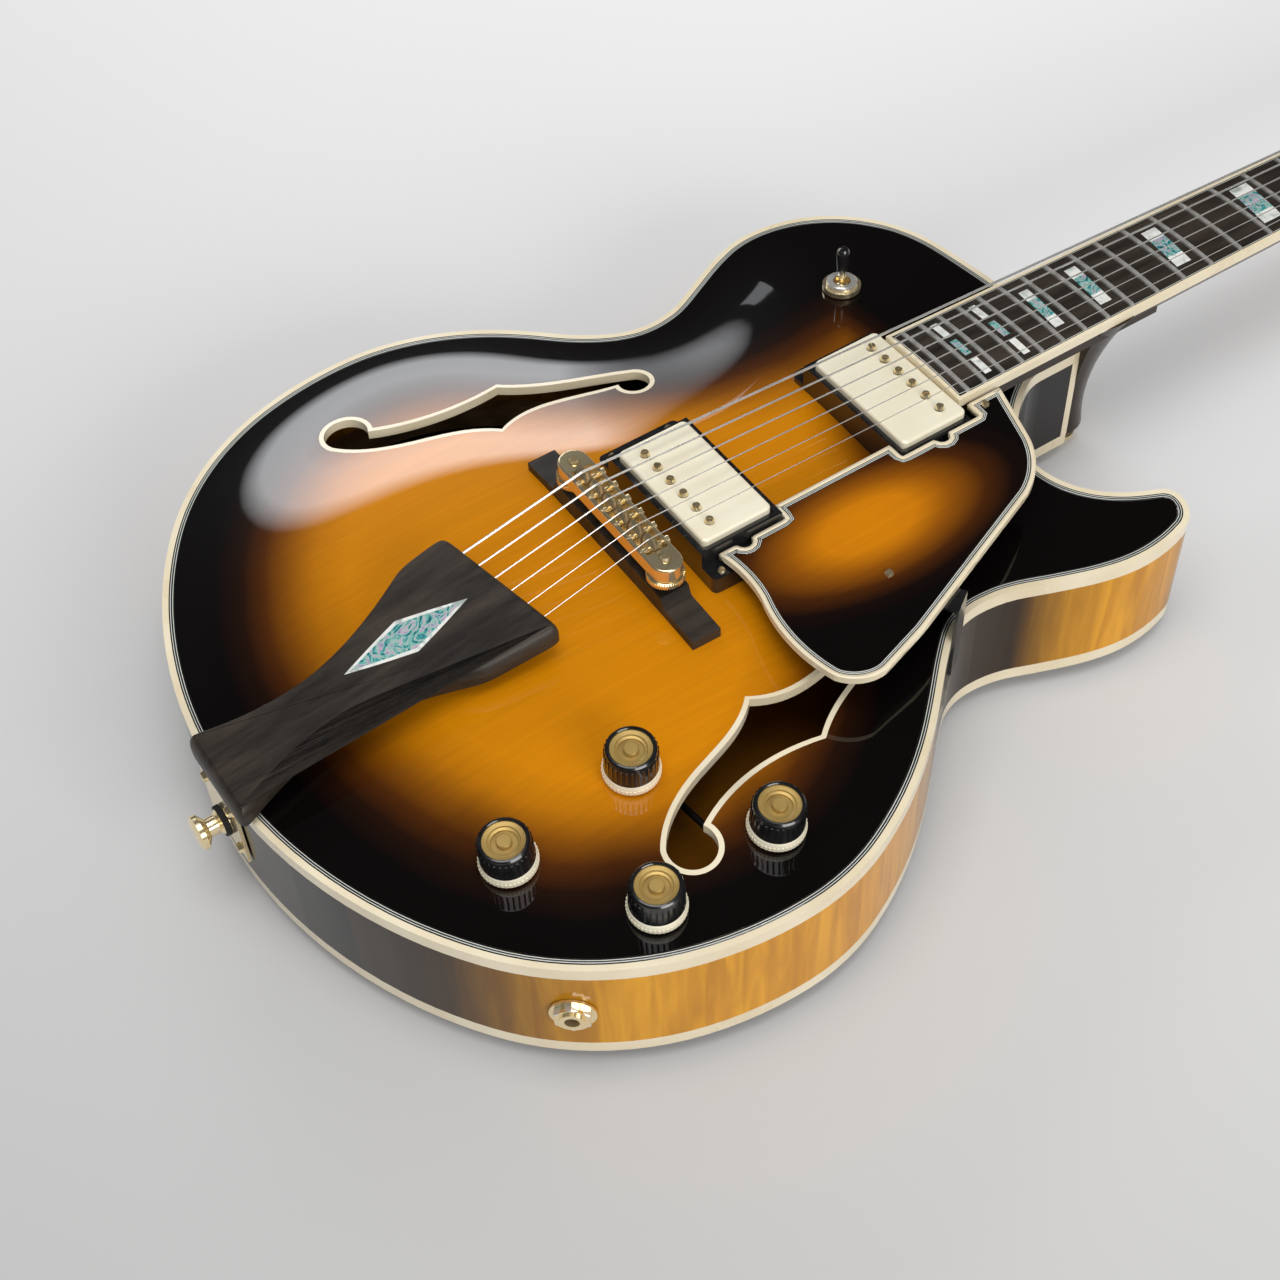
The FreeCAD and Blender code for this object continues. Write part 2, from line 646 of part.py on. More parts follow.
GRID_COLUMNS = 44
GRID_ROWS = 36
EDGE_SAMPLES = 300
EDGE_STEPS = outer_wire().discretize(EDGE_SAMPLES)


def inside_outline(x, y):
    crossings = 0
    for first, last in zip(EDGE_STEPS, EDGE_STEPS[1:] + EDGE_STEPS[:1]):
        if (first.y > y) != (last.y > y):
            crossings += x < first.x + (y - first.y) * (last.x - first.x) / (last.y - first.y)
    return crossings % 2 == 1


def arch_share(x, y):
    """How much of the full arch stands at a place: 0 on the flat border, 1 far from the edge.

    The reach from the edge is a smooth mean, the inverse fourth power summed along the edge,
    so the dome has no ridge where two sides are equally far.
    """
    if not inside_outline(x, y):
        return 0.0
    total = 0.0
    for first, last in zip(EDGE_STEPS, EDGE_STEPS[1:] + EDGE_STEPS[:1]):
        away = ((x - first.x) ** 2 + (y - first.y) ** 2) or 1e-9
        total += math.hypot(last.x - first.x, last.y - first.y) / away ** 2
    reach = (math.pi / (2 * total)) ** (1 / 3)
    rise = (reach - size("arch_border")) / (size("arch_run") - size("arch_border"))
    rise = min(max(rise, 0.0), 1.0)
    return rise * rise * (3 - 2 * rise)


def arch_grid():
    """Arch shares on a grid of places that covers the body."""
    margin = size("overrun")
    columns = [-size("tail_reach") - margin + (size("body_length") + 2 * margin) * index / (GRID_COLUMNS - 1)
               for index in range(GRID_COLUMNS)]
    half = max(size("lower_half_width"), size("upper_half_width"), size("horn_half_width")) + margin
    rows = [-half + 2 * half * index / (GRID_ROWS - 1) for index in range(GRID_ROWS)]
    return [[(x, y, arch_share(x, y)) for y in rows] for x in columns]


ARCH_GRID = arch_grid()


def arch_face(edge_height, arch):
    """The arched face of a plate, over the whole grid."""
    surface = Part.BSplineSurface()
    surface.interpolate([[Vector(x, y, edge_height + arch * share) for x, y, share in column] for column in ARCH_GRID])
    return surface.toShape()


TOP_FACE = arch_face(0, size("top_arch"))
BACK_FACE = arch_face(BACK_EDGE, -size("back_arch"))


def top_place(x, y):
    """Height and upward normal of the top's outer face."""
    probe = Part.Edge(Part.LineSegment(Vector(x, y, -size("rim_depth")), Vector(x, y, size("rim_depth"))))
    point = probe.distToShape(TOP_FACE)[1][0][0]
    surface = TOP_FACE.Surface
    normal = surface.normal(*surface.parameter(point))
    return point.z, normal if normal.z > 0 else normal * -1


def on_top(x, y):
    """A frame on the top's outer face, z along its normal."""
    height, normal = top_place(x, y)
    return Placement(Vector(x, y, height), Rotation(UP, normal))


def arched_slab(lowered, thickness):
    """A sheet that follows the top's arch, some way under its outer face."""
    face = TOP_FACE.copy()
    face.translate(Vector(0, 0, -lowered))
    return face.extrude(Vector(0, 0, -thickness))


def above_top():
    """Everything over the top's face, for pieces that are shaped to sit on it."""
    return TOP_FACE.extrude(Vector(0, 0, 2 * size("rim_depth")))


# Places of the hardware

NECK_PICKUP_X = size("board_end_reach") - size("board_to_cover") - size("cover_width") / 2
PICKUPS = [(NECK_PICKUP_X, size("neck_pickup_top"), 1), (size("bridge_pickup_reach"), size("bridge_pickup_top"), -1)]
KNOB_FRAMES = [on_top(along * size("tail_reach"), across * size("lower_half_width")) for along, across in KNOB_SHARES]
SWITCH_FRAME = on_top(size("switch_reach"), size("switch_offset"))
JACK_POINT, JACK_OUT = rib_station(-size("jack_reach"))
JACK_FRAME = Placement(JACK_POINT - UP * size("jack_drop"), Rotation(UP, JACK_OUT))
BRACKET_POINT, BRACKET_OUT = rib_station(size("guard_bracket_reach"))
GUARD_BRACKET_FRAME = Placement(BRACKET_POINT, Rotation(Vector(1, 0, 0), BRACKET_OUT))


# Sound holes


def soundhole_wire(side, grow):
    """Outline of one sound hole, grown by a margin: two eyes joined by a leaf with a nick on each edge."""
    eye = Vector(size("soundhole_start"), side * size("soundhole_offset"), 0)
    along_leaf = Vector(size("soundhole_length"), -side * size("soundhole_lean"), 0)
    outward = Vector(size("soundhole_lean"), side * size("soundhole_length"), 0).normalize()

    def leaf(shares, away):
        return [eye + Vector(along * along_leaf.x, across * along_leaf.y, 0) + outward * (away * grow)
                for along, across in shares]

    def grown_eye(centre, radius, degrees):
        """Three places on an eye; the first is a sharp corner, which the margin moves round the eye."""
        corner_turn = grow / (radius + grow)
        angles = [math.radians(degree) for degree in degrees]
        angles[0] += corner_turn
        return [centre + Vector(math.cos(angle), side * math.sin(angle), 0) * (radius + grow) for angle in angles]

    def curve(points):
        spline = Part.BSplineCurve()
        spline.interpolate(points)
        return spline.toShape()

    low = grown_eye(eye, size("lower_eye_radius"), LOWER_EYE_DEGREES)
    high = grown_eye(eye + along_leaf, size("upper_eye_radius"), UPPER_EYE_DEGREES)
    edges = [
        Part.Arc(*low).toShape(),
        curve([low[2]] + leaf(INNER_LOWER_SHARES, -1)),
        curve(leaf(INNER_UPPER_SHARES, -1) + [high[0]]),
        Part.Arc(*high).toShape(),
        curve([high[2]] + leaf(OUTER_UPPER_SHARES, 1)),
        curve(leaf(OUTER_LOWER_SHARES, 1) + [low[0]]),
    ]
    return Part.Wire(edges)


SOUNDHOLES = [soundhole_wire(side, 0) for side in (1, -1)]
SOUNDHOLE_CUTS = [soundhole_wire(side, size("soundhole_binding")) for side in (1, -1)]


# Body pieces


def drill(frame, radius, length):
    """A round hole through a plate, along a frame's z."""
    cylinder = Part.makeCylinder(radius, 2 * length, Vector(0, 0, -length))
    cylinder.Placement = frame
    return cylinder


def make_top():
    plate = arched_slab(0, size("plate_thickness")).common(
        prism(inset_wire(size("rib_thickness")), -size("rim_depth"), size("rim_depth")))
    through = size("plate_thickness") + size("overrun")
    cutters = [prism(wire, -through, size("top_arch") + through) for wire in SOUNDHOLE_CUTS]
    for centre, top, toward in PICKUPS:
        half = Vector(size("cover_width") / 2 + size("seat_gap"), size("cover_length") / 2 + size("seat_gap"), 0)
        middle = Vector(centre, 0, 0)
        cutters.append(box(middle - half - UP * through, middle + half + UP * size("rim_depth")))
    for frame in KNOB_FRAMES:
        cutters.append(drill(frame, size("pot_bushing_radius") + size("seat_gap"), through))
    cutters.append(drill(SWITCH_FRAME, size("switch_bushing_radius") + size("seat_gap"), through))
    add_shape("top_plate", plate.cut(cutters))


def make_back():
    slab = BACK_FACE.extrude(Vector(0, 0, size("plate_thickness")))
    plate = slab.common(prism(inset_wire(size("rib_thickness")), 2 * BACK_EDGE, 0))
    add_shape("back_plate", plate)


def tenon(grow):
    """The neck's tenon, run on a little into the heel; grown, it is the mortise."""
    half = size("tenon_width") / 2 + grow
    high = grow - size("tenon_drop")
    low = -size("tenon_drop") - size("tenon_height") - grow
    return box(Vector(NECK_END - size("tenon_length") - grow, -half, low),
               Vector(NECK_END + size("overrun"), half, high))


def make_ribs():
    low = BACK_EDGE + size("binding_height")
    high = -size("binding_height")
    wood = ring(outer_wire(), inset_wire(size("rib_thickness")), low, high)
    jack_hole = drill(JACK_FRAME, size("jack_barrel_radius") + size("jack_fit"), size("jack_barrel_length"))
    mortise = tenon(size("running_gap"))
    pin_hole = Part.makeCylinder(size("pin_shank_radius") + size("running_gap"), size("tail_block_length"),
                                 Vector(-size("tail_reach") - size("overrun"), 0, -size("pin_drop")), Vector(1, 0, 0))
    wood = wood.cut([jack_hole, mortise, pin_hole])
    far = size("body_length") + size("lower_half_width")
    halves = [wood.common(box(Vector(-far, min(0, side * far), -far), Vector(far, max(0, side * far), far)))
              for side in (1, -1)]
    add_shape("side_ribs", Part.makeCompound(halves))


def block_space(low_x, high_x, width):
    """The room between the plates' flat borders, inside the ribs, for one end block."""
    inner = prism(inset_wire(size("rib_thickness")), BACK_EDGE + size("plate_thickness"), -size("plate_thickness"))
    return inner.common(box(Vector(low_x, -width / 2, BACK_EDGE), Vector(high_x, width / 2, 0)))


def end_block_shapes():
    tail = -size("tail_reach")
    return [block_space(NECK_END - size("neck_block_length"), NECK_END, size("neck_block_width")),
            block_space(tail, tail + size("tail_block_length"), size("tail_block_width"))]


def make_blocks(blocks):
    pin_hole = Part.makeCylinder(size("pin_shank_radius") + size("running_gap"),
                                 size("pin_shank_length") + size("rib_thickness") + size("running_gap"),
                                 Vector(-size("tail_reach"), 0, -size("pin_drop")), Vector(1, 0, 0))
    neck_block = blocks[0].cut([tenon(size("running_gap"))])
    tail_block = blocks[1].cut([pin_hole])
    add_shape("end_blocks", Part.makeCompound([neck_block, tail_block]))


def make_linings(blocks):
    outer = inset_wire(size("rib_thickness"))
    inner = inset_wire(size("rib_thickness") + size("lining_width"))
    jack_room = drill(JACK_FRAME, size("jack_barrel_radius") + size("jack_fit"), size("jack_barrel_length"))
    strips = []
    for low in (-size("plate_thickness") - size("lining_height"), BACK_EDGE + size("plate_thickness")):
        strip = ring(outer, inner, low, low + size("lining_height"))
        strips.extend(strip.cut(blocks + [jack_room]).Solids)
    add_shape("linings", Part.makeCompound(strips))


def make_body_binding():
    strips = []
    for low in (-size("binding_height"), BACK_EDGE):
        strips.append(ring(outer_wire(), inset_wire(size("rib_thickness")), low, low + size("binding_height")))
    add_shape("body_binding", Part.makeCompound(strips))


def make_soundhole_binding():
    strips = []
    for hole, cut in zip(SOUNDHOLES, SOUNDHOLE_CUTS):
        strip = ring(cut, hole, -size("rim_depth"), size("rim_depth"))
        strips.append(arched_slab(0, size("plate_thickness")).common(strip))
    add_shape("soundhole_binding", Part.makeCompound(strips))


def make_tone_bars():
    slab = arched_slab(size("plate_thickness"), size("tone_bar_height"))
    bars = []
    for side in (1, -1):
        start = Vector(-size("tail_reach") + size("tail_block_length") + size("overrun"), 0, 0)
        inner = size("cover_length") / 2 + size("overrun")
        low = Vector(start.x, min(side * inner, side * (inner + size("tone_bar_width"))), -size("rim_depth"))
        high = Vector(start.x + size("tone_bar_length"), max(side * inner, side * (inner + size("tone_bar_width"))),
                      size("rim_depth"))
        bars.append(slab.common(box(low, high)))
    add_shape("tone_bars", Part.makeCompound(bars))


# Neck pieces


def crown(across):
    """How far the fretboard's crown has fallen at a distance from its centre line."""
    return size("board_radius") - math.sqrt(size("board_radius") ** 2 - across ** 2)


def neck_section(distance, depth):
    """Cross-section of the neck under the fretboard: flat on top, round below."""
    half = board_half_width(distance)
    low = -size("board_thickness")
    left = Vector(-distance, -half, low)
    right = Vector(-distance, half, low)
    return Part.Wire([line(left, right), Part.Arc(right, Vector(-distance, 0, low - depth), left).toShape()])


def tongue_section(distance):
    half = board_half_width(distance) - size("board_binding")
    high = -size("board_thickness")
    low = high - size("tongue_thickness")
    corners = [Vector(-distance, -half, low), Vector(-distance, half, low),
               Vector(-distance, half, high), Vector(-distance, -half, high)]
    return Part.makePolygon(corners + corners[:1])


def heel_section(height, length, width):
    """A level section of the heel: flat against the body, round towards the nut."""
    left = Vector(NECK_END, -width / 2, height)
    right = Vector(NECK_END, width / 2, height)
    return Part.Wire([line(left, right), Part.Arc(right, Vector(NECK_END + length, 0, height), left).toShape()])


def loft(sections, ruled=True):
    return Part.makeLoft(sections, True, ruled)


def in_frame(shape, frame):
    shape.Placement = frame.multiply(shape.Placement)
    return shape


def head_wire():
    """Headstock outline in its own plane, from the nut to a low crest at the tip."""
    side = [Vector(0, size("nut_width") / 2, 0)]
    side += [Vector(along * size("head_length"), across * size("head_half_width"), 0) for along, across in HEAD_SHARES]
    mirrored = [Vector(point.x, -point.y, 0) for point in side]
    edges = []
    for points in (side, mirrored):
        curve = Part.BSplineCurve()
        curve.interpolate(points)
        edges.append(curve.toShape())
    tip = Part.Arc(side[-1], Vector(size("head_length"), 0, 0), mirrored[-1]).toShape()
    return Part.Wire([edges[0], tip, edges[1], line(mirrored[0], side[0])])


def tuner_frame(index):
    """Frame of a tuner on the headstock's face: z along the post, y towards its button."""
    bass = index < TUNERS_PER_SIDE
    step = index if bass else STRING_COUNT - 1 - index
    along = size("tuner_first") + step * size("tuner_pitch")
    across = size("tuner_offset") if bass else -size("tuner_offset")
    return HEAD_FRAME.multiply(Placement(Vector(along, across, 0), Rotation(UP, 0 if bass else 180)))


TUNER_FRAMES = [tuner_frame(index) for index in range(STRING_COUNT)]
BOARD_LENGTH = board_distance(size("board_end_reach"))
JOINT_DISTANCE = board_distance(NECK_END)
HEEL_TOP = NECK_FRAME.multVec(Vector(-JOINT_DISTANCE, 0, -size("board_thickness"))).z
HEEL_FOOT = BACK_EDGE + size("heel_foot_lift")
HEEL_BUTTON = Placement(Vector(NECK_END + size("heel_foot_length") / 2, 0, HEEL_FOOT), Rotation(Vector(1, 0, 0), 180))
TAIL_BUTTON = Placement(Vector(-size("tail_reach") - size("bracket_thickness"), 0, -size("pin_drop")),
                        Rotation(UP, Vector(-1, 0, 0)))


def board_blank(margin):
    """The fretboard with its crowned top, less a margin at its sides and its body end."""
    radius = size("board_radius")
    low = -size("board_thickness")
    sections = []
    for distance in (0, BOARD_LENGTH - margin):
        half = board_half_width(distance) - margin
        corners = [Vector(-distance, -half, low), Vector(-distance, half, low),
                   Vector(-distance, half, 0), Vector(-distance, -half, 0)]
        sections.append(Part.makePolygon(corners + corners[:1]))
    overrun = size("overrun")
    crown_bar = Part.makeCylinder(radius, BOARD_LENGTH + 2 * overrun, Vector(overrun, 0, -radius), Vector(-1, 0, 0))
    return loft(sections).common(crown_bar)


def make_fretboard():
    core = board_blank(size("board_binding"))
    add_shape("fretboard_binding", in_frame(board_blank(0).cut(core), NECK_FRAME))
    beds = inlay_beds()
    inlays = [solid for bed in beds for solid in core.common(bed).Solids]
    add_shape("fret_inlays", in_frame(Part.makeCompound(inlays), NECK_FRAME))
    add_shape("fretboard", in_frame(core.cut(beds), NECK_FRAME))


def inlay_bed(corners):
    """A pocket for one inlay, through the fretboard's crown."""
    floor = -size("inlay_depth") - crown(size("inlay_width") / 2)
    wire = Part.makePolygon([Vector(x, y, floor) for x, y in corners + corners[:1]])
    return Part.Face(wire).extrude(Vector(0, 0, size("overrun") - floor))


def inlay_beds():
    """Slanted blocks behind the marked frets, and rows of three small bars behind the last two marks."""
    beds = []
    half = size("inlay_width") / 2
    for fret in BLOCK_INLAY_FRETS:
        low = -fret_distance(fret) + size("inlay_margin")
        high = -fret_distance(fret - 1) - size("inlay_margin")
        slant = min(size("inlay_slant"), (high - low) / 4)
        beds.append(inlay_bed([(low, -half), (high - slant, -half), (high, half), (low + slant, half)]))
    for fret in BAR_INLAY_FRETS:
        middle = -(fret_distance(fret) + fret_distance(fret - 1)) / 2
        for place_index in (-1, 0, 1):
            centre = place_index * (size("bar_length") + size("bar_gap"))
            low, high = centre - size("bar_length") / 2, centre + size("bar_length") / 2
            left, right = middle - size("bar_width") / 2, middle + size("bar_width") / 2
            beds.append(inlay_bed([(left, low), (right, low), (right, high), (left, high)]))
    return beds


def make_frets():
    frets = []
    for fret in range(1, FRET_COUNT + 1):
        distance = fret_distance(fret)
        half = board_half_width(distance) - size("board_binding")
        x = -distance - size("fret_width") / 2
        rise = size("fret_height")
        feet = [Vector(x, -half, -crown(half)), Vector(x, half, -crown(half))]
        tops = [Vector(x, half - rise, rise - crown(half)), Vector(x, rise - half, rise - crown(half))]
        wire = Part.Wire([Part.Arc(feet[0], Vector(x, 0, 0), feet[1]).toShape(), line(feet[1], tops[0]),
                          Part.Arc(tops[0], Vector(x, 0, rise), tops[1]).toShape(), line(tops[1], feet[0])])
        frets.append(Part.Face(wire).extrude(Vector(size("fret_width"), 0, 0)))
    add_shape("frets", in_frame(Part.makeCompound(frets), NECK_FRAME))


def truss_rod(grow):
    half = size("truss_rod_width") / 2 + grow
    high = -size("board_thickness")
    start = size("nut_length")
    return box(Vector(-JOINT_DISTANCE - grow, -half, high - size("truss_rod_height") - grow),
               Vector(-start + grow, half, high))


def make_neck():
    heel_start = JOINT_DISTANCE - size("heel_length")
    shaft = in_frame(loft([neck_section(-size("nut_length"), size("neck_depth")),
                           neck_section(JOINT_DISTANCE, size("neck_depth") + size("neck_depth_gain"))]), NECK_FRAME)
    middle = HEEL_FOOT + (HEEL_TOP - HEEL_FOOT) * 0.55
    heel = loft([heel_section(HEEL_TOP, size("heel_length"), size("heel_top_width")),
                 heel_section(middle, size("heel_foot_length") * 1.15, size("heel_foot_width") * 1.12),
                 heel_section(HEEL_FOOT, size("heel_foot_length"), size("heel_foot_width"))], ruled=False)
    tongue = in_frame(loft([tongue_section(heel_start), tongue_section(BOARD_LENGTH - size("board_binding"))]), NECK_FRAME)
    head = in_frame(prism(head_wire(), -size("head_thickness"), -size("veneer_thickness")), HEAD_FRAME)
    wood = shaft.fuse([heel, tongue, head, tenon(0)])
    cutters = [in_frame(board_blank(0), NECK_FRAME), in_frame(truss_rod(size("running_gap")), NECK_FRAME)]
    for frame in TUNER_FRAMES:
        cutters.append(drill(frame, size("bushing_radius") + size("running_gap"), size("head_thickness") + size("overrun")))
    pin_hole = Part.makeCylinder(size("pin_shank_radius") + size("running_gap"), size("pin_shank_length") + size("seat_gap"),
                                 Vector(0, 0, -size("pin_shank_length") - size("seat_gap")))
    cutters.append(in_frame(pin_hole, HEEL_BUTTON))
    add_shape("neck", wood.cut(cutters).removeSplitter())
    add_shape("truss_rod", in_frame(truss_rod(0), NECK_FRAME))


def make_headstock_trim():
    veneer = in_frame(prism(head_wire(), -size("veneer_thickness"), 0), HEAD_FRAME)
    holes = [drill(frame, size("bushing_radius") + size("running_gap"), size("head_thickness")) for frame in TUNER_FRAMES]
    nut_room = in_frame(box(Vector(0, -size("nut_width"), -size("neck_depth")),
                            Vector(size("nut_length"), size("nut_width"), size("neck_depth"))), NECK_FRAME)
    add_shape("headstock_veneer", veneer.cut(holes + [nut_room]))
    body = new_body("truss_rod_cover")
    sketch = new_sketch(body, "outline", "XY_Plane")
    draw_profile(sketch, [("0", "-cover_plate_width / 2"),
                          ("cover_plate_length * 0.45", "-cover_plate_width / 2"),
                          ("cover_plate_length", "-cover_plate_width / 5",
                           "cover_plate_length * 1.06", "0"),
                          ("cover_plate_length", "cover_plate_width / 5"),
                          ("cover_plate_length * 0.45", "cover_plate_width / 2"),
                          ("0", "cover_plate_width / 2")])
    pad(body, sketch, "cover_plate_thickness")
    place(body, "truss_rod_cover", HEAD_FRAME.multiply(Placement(Vector(size("overrun"), 0, 0), Rotation())))


def string_across(spread, index):
    """Where a string lies across the strings, lowest string on the bass side."""
    return spread * (0.5 - index / (STRING_COUNT - 1))


def make_nut():
    """A block with one slot for each string, which falls and fans out towards the string's post."""
    half = size("nut_width") / 2
    blank = box(Vector(0, -half, -size("board_thickness")), Vector(size("nut_length"), half, size("nut_rise")))
    to_neck = NECK_FRAME.inverse()
    slots = []
    for index in range(STRING_COUNT):
        rest, post = [to_neck.multVec(point) for point in string_points(index)[2:]]
        slope = (post - rest) * (1 / (post.x - rest.x))
        reach = string_radius(index) + size("running_gap")
        sections = []
        for along in (-size("overrun"), size("nut_length") + size("overrun")):
            middle = rest + slope * along
            low = middle + Vector(0, -reach, -reach)
            high = Vector(middle.x, middle.y + reach, size("nut_rise") + size("overrun"))
            sections.append(Part.makePolygon([low, Vector(low.x, high.y, low.z), high, Vector(low.x, low.y, high.z), low]))
        slots.append(loft(sections))
    add_shape("nut", in_frame(blank.cut(slots), NECK_FRAME))


# Tuners

WORM_REACH = "(wheel_radius + worm_radius + seat_gap)"
WHEEL_MIDDLE = "(-head_thickness - housing_height / 2)"


def make_tuner_housings():
    half = size("housing_width") / 2
    top = -size("head_thickness")
    floor = top - size("housing_height")
    worm = value(WORM_REACH)
    back_wall = size("wheel_radius") + (half - size("wheel_radius")) / 2
    case = box(Vector(worm - size("housing_length") + back_wall / 2, -half, floor), Vector(worm + back_wall / 2, half, top))
    case = case.makeFillet(size("housing_height") / 6, [edge for edge in case.Edges if upright(edge)])
    sleeve = Part.makeCylinder(size("bushing_radius"), -top, Vector(0, 0, top))
    flange = Part.makeCylinder(size("bushing_flange"), size("flange_thickness"))
    bore = Part.makeCylinder(size("post_radius") + size("running_gap"), 2 * size("overrun") - top, Vector(0, 0, top - size("overrun")))
    room = size("wheel_thickness") / 2 + size("seat_gap")
    chamber = Part.makeCylinder(size("wheel_radius") + size("seat_gap"), 2 * room, Vector(0, 0, value(WHEEL_MIDDLE) - room))
    tunnel = Part.makeCylinder(size("worm_radius") + size("running_gap"), 2 * half, Vector(worm, -back_wall, value(WHEEL_MIDDLE)), ACROSS)
    housing = case.fuse([sleeve, flange]).cut([bore, chamber, tunnel])
    add_shape("tuner_housings", Part.makeCompound([in_frame(housing.copy(), frame) for frame in TUNER_FRAMES]))


def make_tuner_posts():
    wheel_low = WHEEL_MIDDLE + " - wheel_thickness / 2"
    wheel_high = WHEEL_MIDDLE + " + wheel_thickness / 2"
    for index, frame in enumerate(TUNER_FRAMES):
        body = new_body("tuner_post_%d" % (index + 1))
        revolve(body, [("0", wheel_low), ("wheel_radius", wheel_low), ("wheel_radius", wheel_high),
                       ("post_radius", wheel_high), ("post_radius", "post_height * 0.35"),
                       ("post_radius - post_waist", "post_height * 0.5"), ("post_radius - post_waist", "post_height * 0.7"),
                       ("post_radius", "post_height * 0.85"), ("post_radius", "post_height"), ("0", "post_height")])
        place(body, "tuner_post_%d" % (index + 1), frame)


def make_tuner_buttons():
    """Each button turns on its worm shaft, which is drawn along z and laid across the headstock."""
    near = "(housing_width / 2 + button_gap)"
    far = "(housing_width / 2 + button_gap + button_length)"
    turn = Placement(Vector(value(WORM_REACH), 0, value(WHEEL_MIDDLE)), Rotation(Vector(1, 0, 0), -90))
    for index, frame in enumerate(TUNER_FRAMES):
        body = new_body("tuner_button_%d" % (index + 1))
        revolve(body, [("0", "-wheel_radius"), ("worm_radius", "-wheel_radius"), ("worm_radius", near), ("0", near)])
        outline = new_sketch(body, "button_outline", "XZ_Plane")
        draw_profile(outline, [("-button_width / 4", near), ("button_width / 4", near, "button_width / 2", near + " + button_length / 2"),
                               ("button_width / 4", far), ("-button_width / 4", far, "-button_width / 2", near + " + button_length / 2")])
        pad(body, outline, "button_thickness", symmetric=True)
        place(body, "tuner_button_%d" % (index + 1), frame.multiply(turn))


# Bridge and strings

SADDLE_PITCH = size("saddle_spread") / (STRING_COUNT - 1)
BOARD_RISE = math.tan(math.radians(size("neck_angle")))
STRING_HEIGHT = size("nut_height") + size("scale_length") * BOARD_RISE + size("string_rise_saddle")
BRIDGE_X = -size("saddle_setback") / 2
CREST = top_place(BRIDGE_X, 0)[0]
BASE_TOP = CREST + size("base_height")
WHEEL_BOTTOM = BASE_TOP + size("wheel_lift")
FRAME_BOTTOM = WHEEL_BOTTOM + size("thumbwheel_thickness") + size("running_gap")
STUD_SIDES = [("bass", 1), ("treble", -1)]
TAIL_SLOPE = ("((tailpiece_front_height - tailpiece_end_height)"
              " / (tail_reach - (tailpiece_front_bass + tailpiece_front_treble) / 2))")
TAIL_FRAME = Placement(Vector(-size("tail_reach"), 0, size("tailpiece_end_height")),
                       Rotation(ACROSS, -math.degrees(math.atan(value(TAIL_SLOPE)))))


def string_radius(index):
    """Strings thin evenly from the lowest to the highest."""
    share = index / (STRING_COUNT - 1)
    return size("thick_string_radius") * (size("thin_string_radius") / size("thick_string_radius")) ** share


def string_points(index):
    """A string's ends and bends: in the tailpiece, on the saddle, in the nut and on its post."""
    across = string_across(size("tail_spread"), index)
    share = (across + size("tailpiece_front_half")) / (2 * size("tailpiece_front_half"))
    reach = size("tailpiece_front_treble") + share * (size("tailpiece_front_bass") - size("tailpiece_front_treble"))
    front = TAIL_FRAME.multVec(Vector(size("tail_reach") - reach, across, -size("tailpiece_thickness") / 2))
    saddle = Vector(-size("saddle_setback") * SETBACK_SHARES[index], string_across(size("saddle_spread"), index), STRING_HEIGHT)
    run = (front - saddle).normalize()
    anchor = front + run * size("tailpiece_string_inset")
    nut = NECK_FRAME.multVec(Vector(0, string_across(size("nut_spread"), index), size("string_rise_nut")))
    inner = size("post_radius") - size("post_waist") + string_radius(index) + size("seat_gap")
    post = TUNER_FRAMES[index].multVec(Vector(0, -inner, size("post_height") * 0.6))
    return [anchor, saddle, nut, post]


def make_strings():
    strings = []
    for index in range(STRING_COUNT):
        points = string_points(index)
        path = Part.makePolygon(points)
        first = points[1] - points[0]
        section = Part.Wire(Part.makeCircle(string_radius(index), points[0], first))
        strings.append(path.makePipeShell([section], True, False, 1))
    add_shape("strings", Part.makeCompound(strings))


def make_tailpiece():
    body = new_body("tailpiece_wood")
    sketch = new_sketch(body, "outline", "XY_Plane")
    tail = "-tailpiece_overhang"
    waist = "(tail_reach - tailpiece_waist)"
    shoulder = "(tail_reach - tailpiece_shoulder)"
    flare = "tailpiece_waist_half + (tailpiece_end_half - tailpiece_waist_half) * 0.32"
    swell = "tailpiece_waist_half + (tailpiece_shoulder_half - tailpiece_waist_half) * 0.38"
    draw_profile(sketch, [
        (tail, "-(tailpiece_end_half)", waist + " * 0.45", "-(%s)" % flare),
        (waist, "-(tailpiece_waist_half)", waist + " + (tailpiece_waist - tailpiece_shoulder) * 0.62", "-(%s)" % swell),
        (shoulder, "-(tailpiece_shoulder_half)"),
        ("tail_reach - tailpiece_front_treble", "-(tailpiece_front_half)"),
        ("tail_reach - tailpiece_front_bass", "tailpiece_front_half"),
        (shoulder, "tailpiece_shoulder_half", waist + " + (tailpiece_waist - tailpiece_shoulder) * 0.62", swell),
        (waist, "tailpiece_waist_half", waist + " * 0.45", flare),
        (tail, "tailpiece_end_half"),
    ])
    wood = pad(body, sketch, "tailpiece_thickness", reversed_side=True)
    fillet(body, wood, at_height(0), "tailpiece_round")
    body.Placement = HOME.multiply(TAIL_FRAME)
    holes = []
    for index in range(STRING_COUNT):
        points = string_points(index)
        run = (points[0] - points[1]).normalize()
        start = points[0] - run * (size("tailpiece_string_inset") + size("overrun"))
        length = size("tailpiece_string_inset") + size("overrun") + size("seat_gap")
        holes.append(Part.makeCylinder(size("string_hole_radius"), length, start, run))
    tool = doc.addObject("Part::Feature", "string_holes")
    tool.Shape = Part.makeCompound(holes)
    tool.Placement = HOME
    cut = doc.addObject("Part::Cut", "tailpiece")
    cut.Base = body
    cut.Tool = tool
    cut.Label = "tailpiece"
    parts.append(cut)


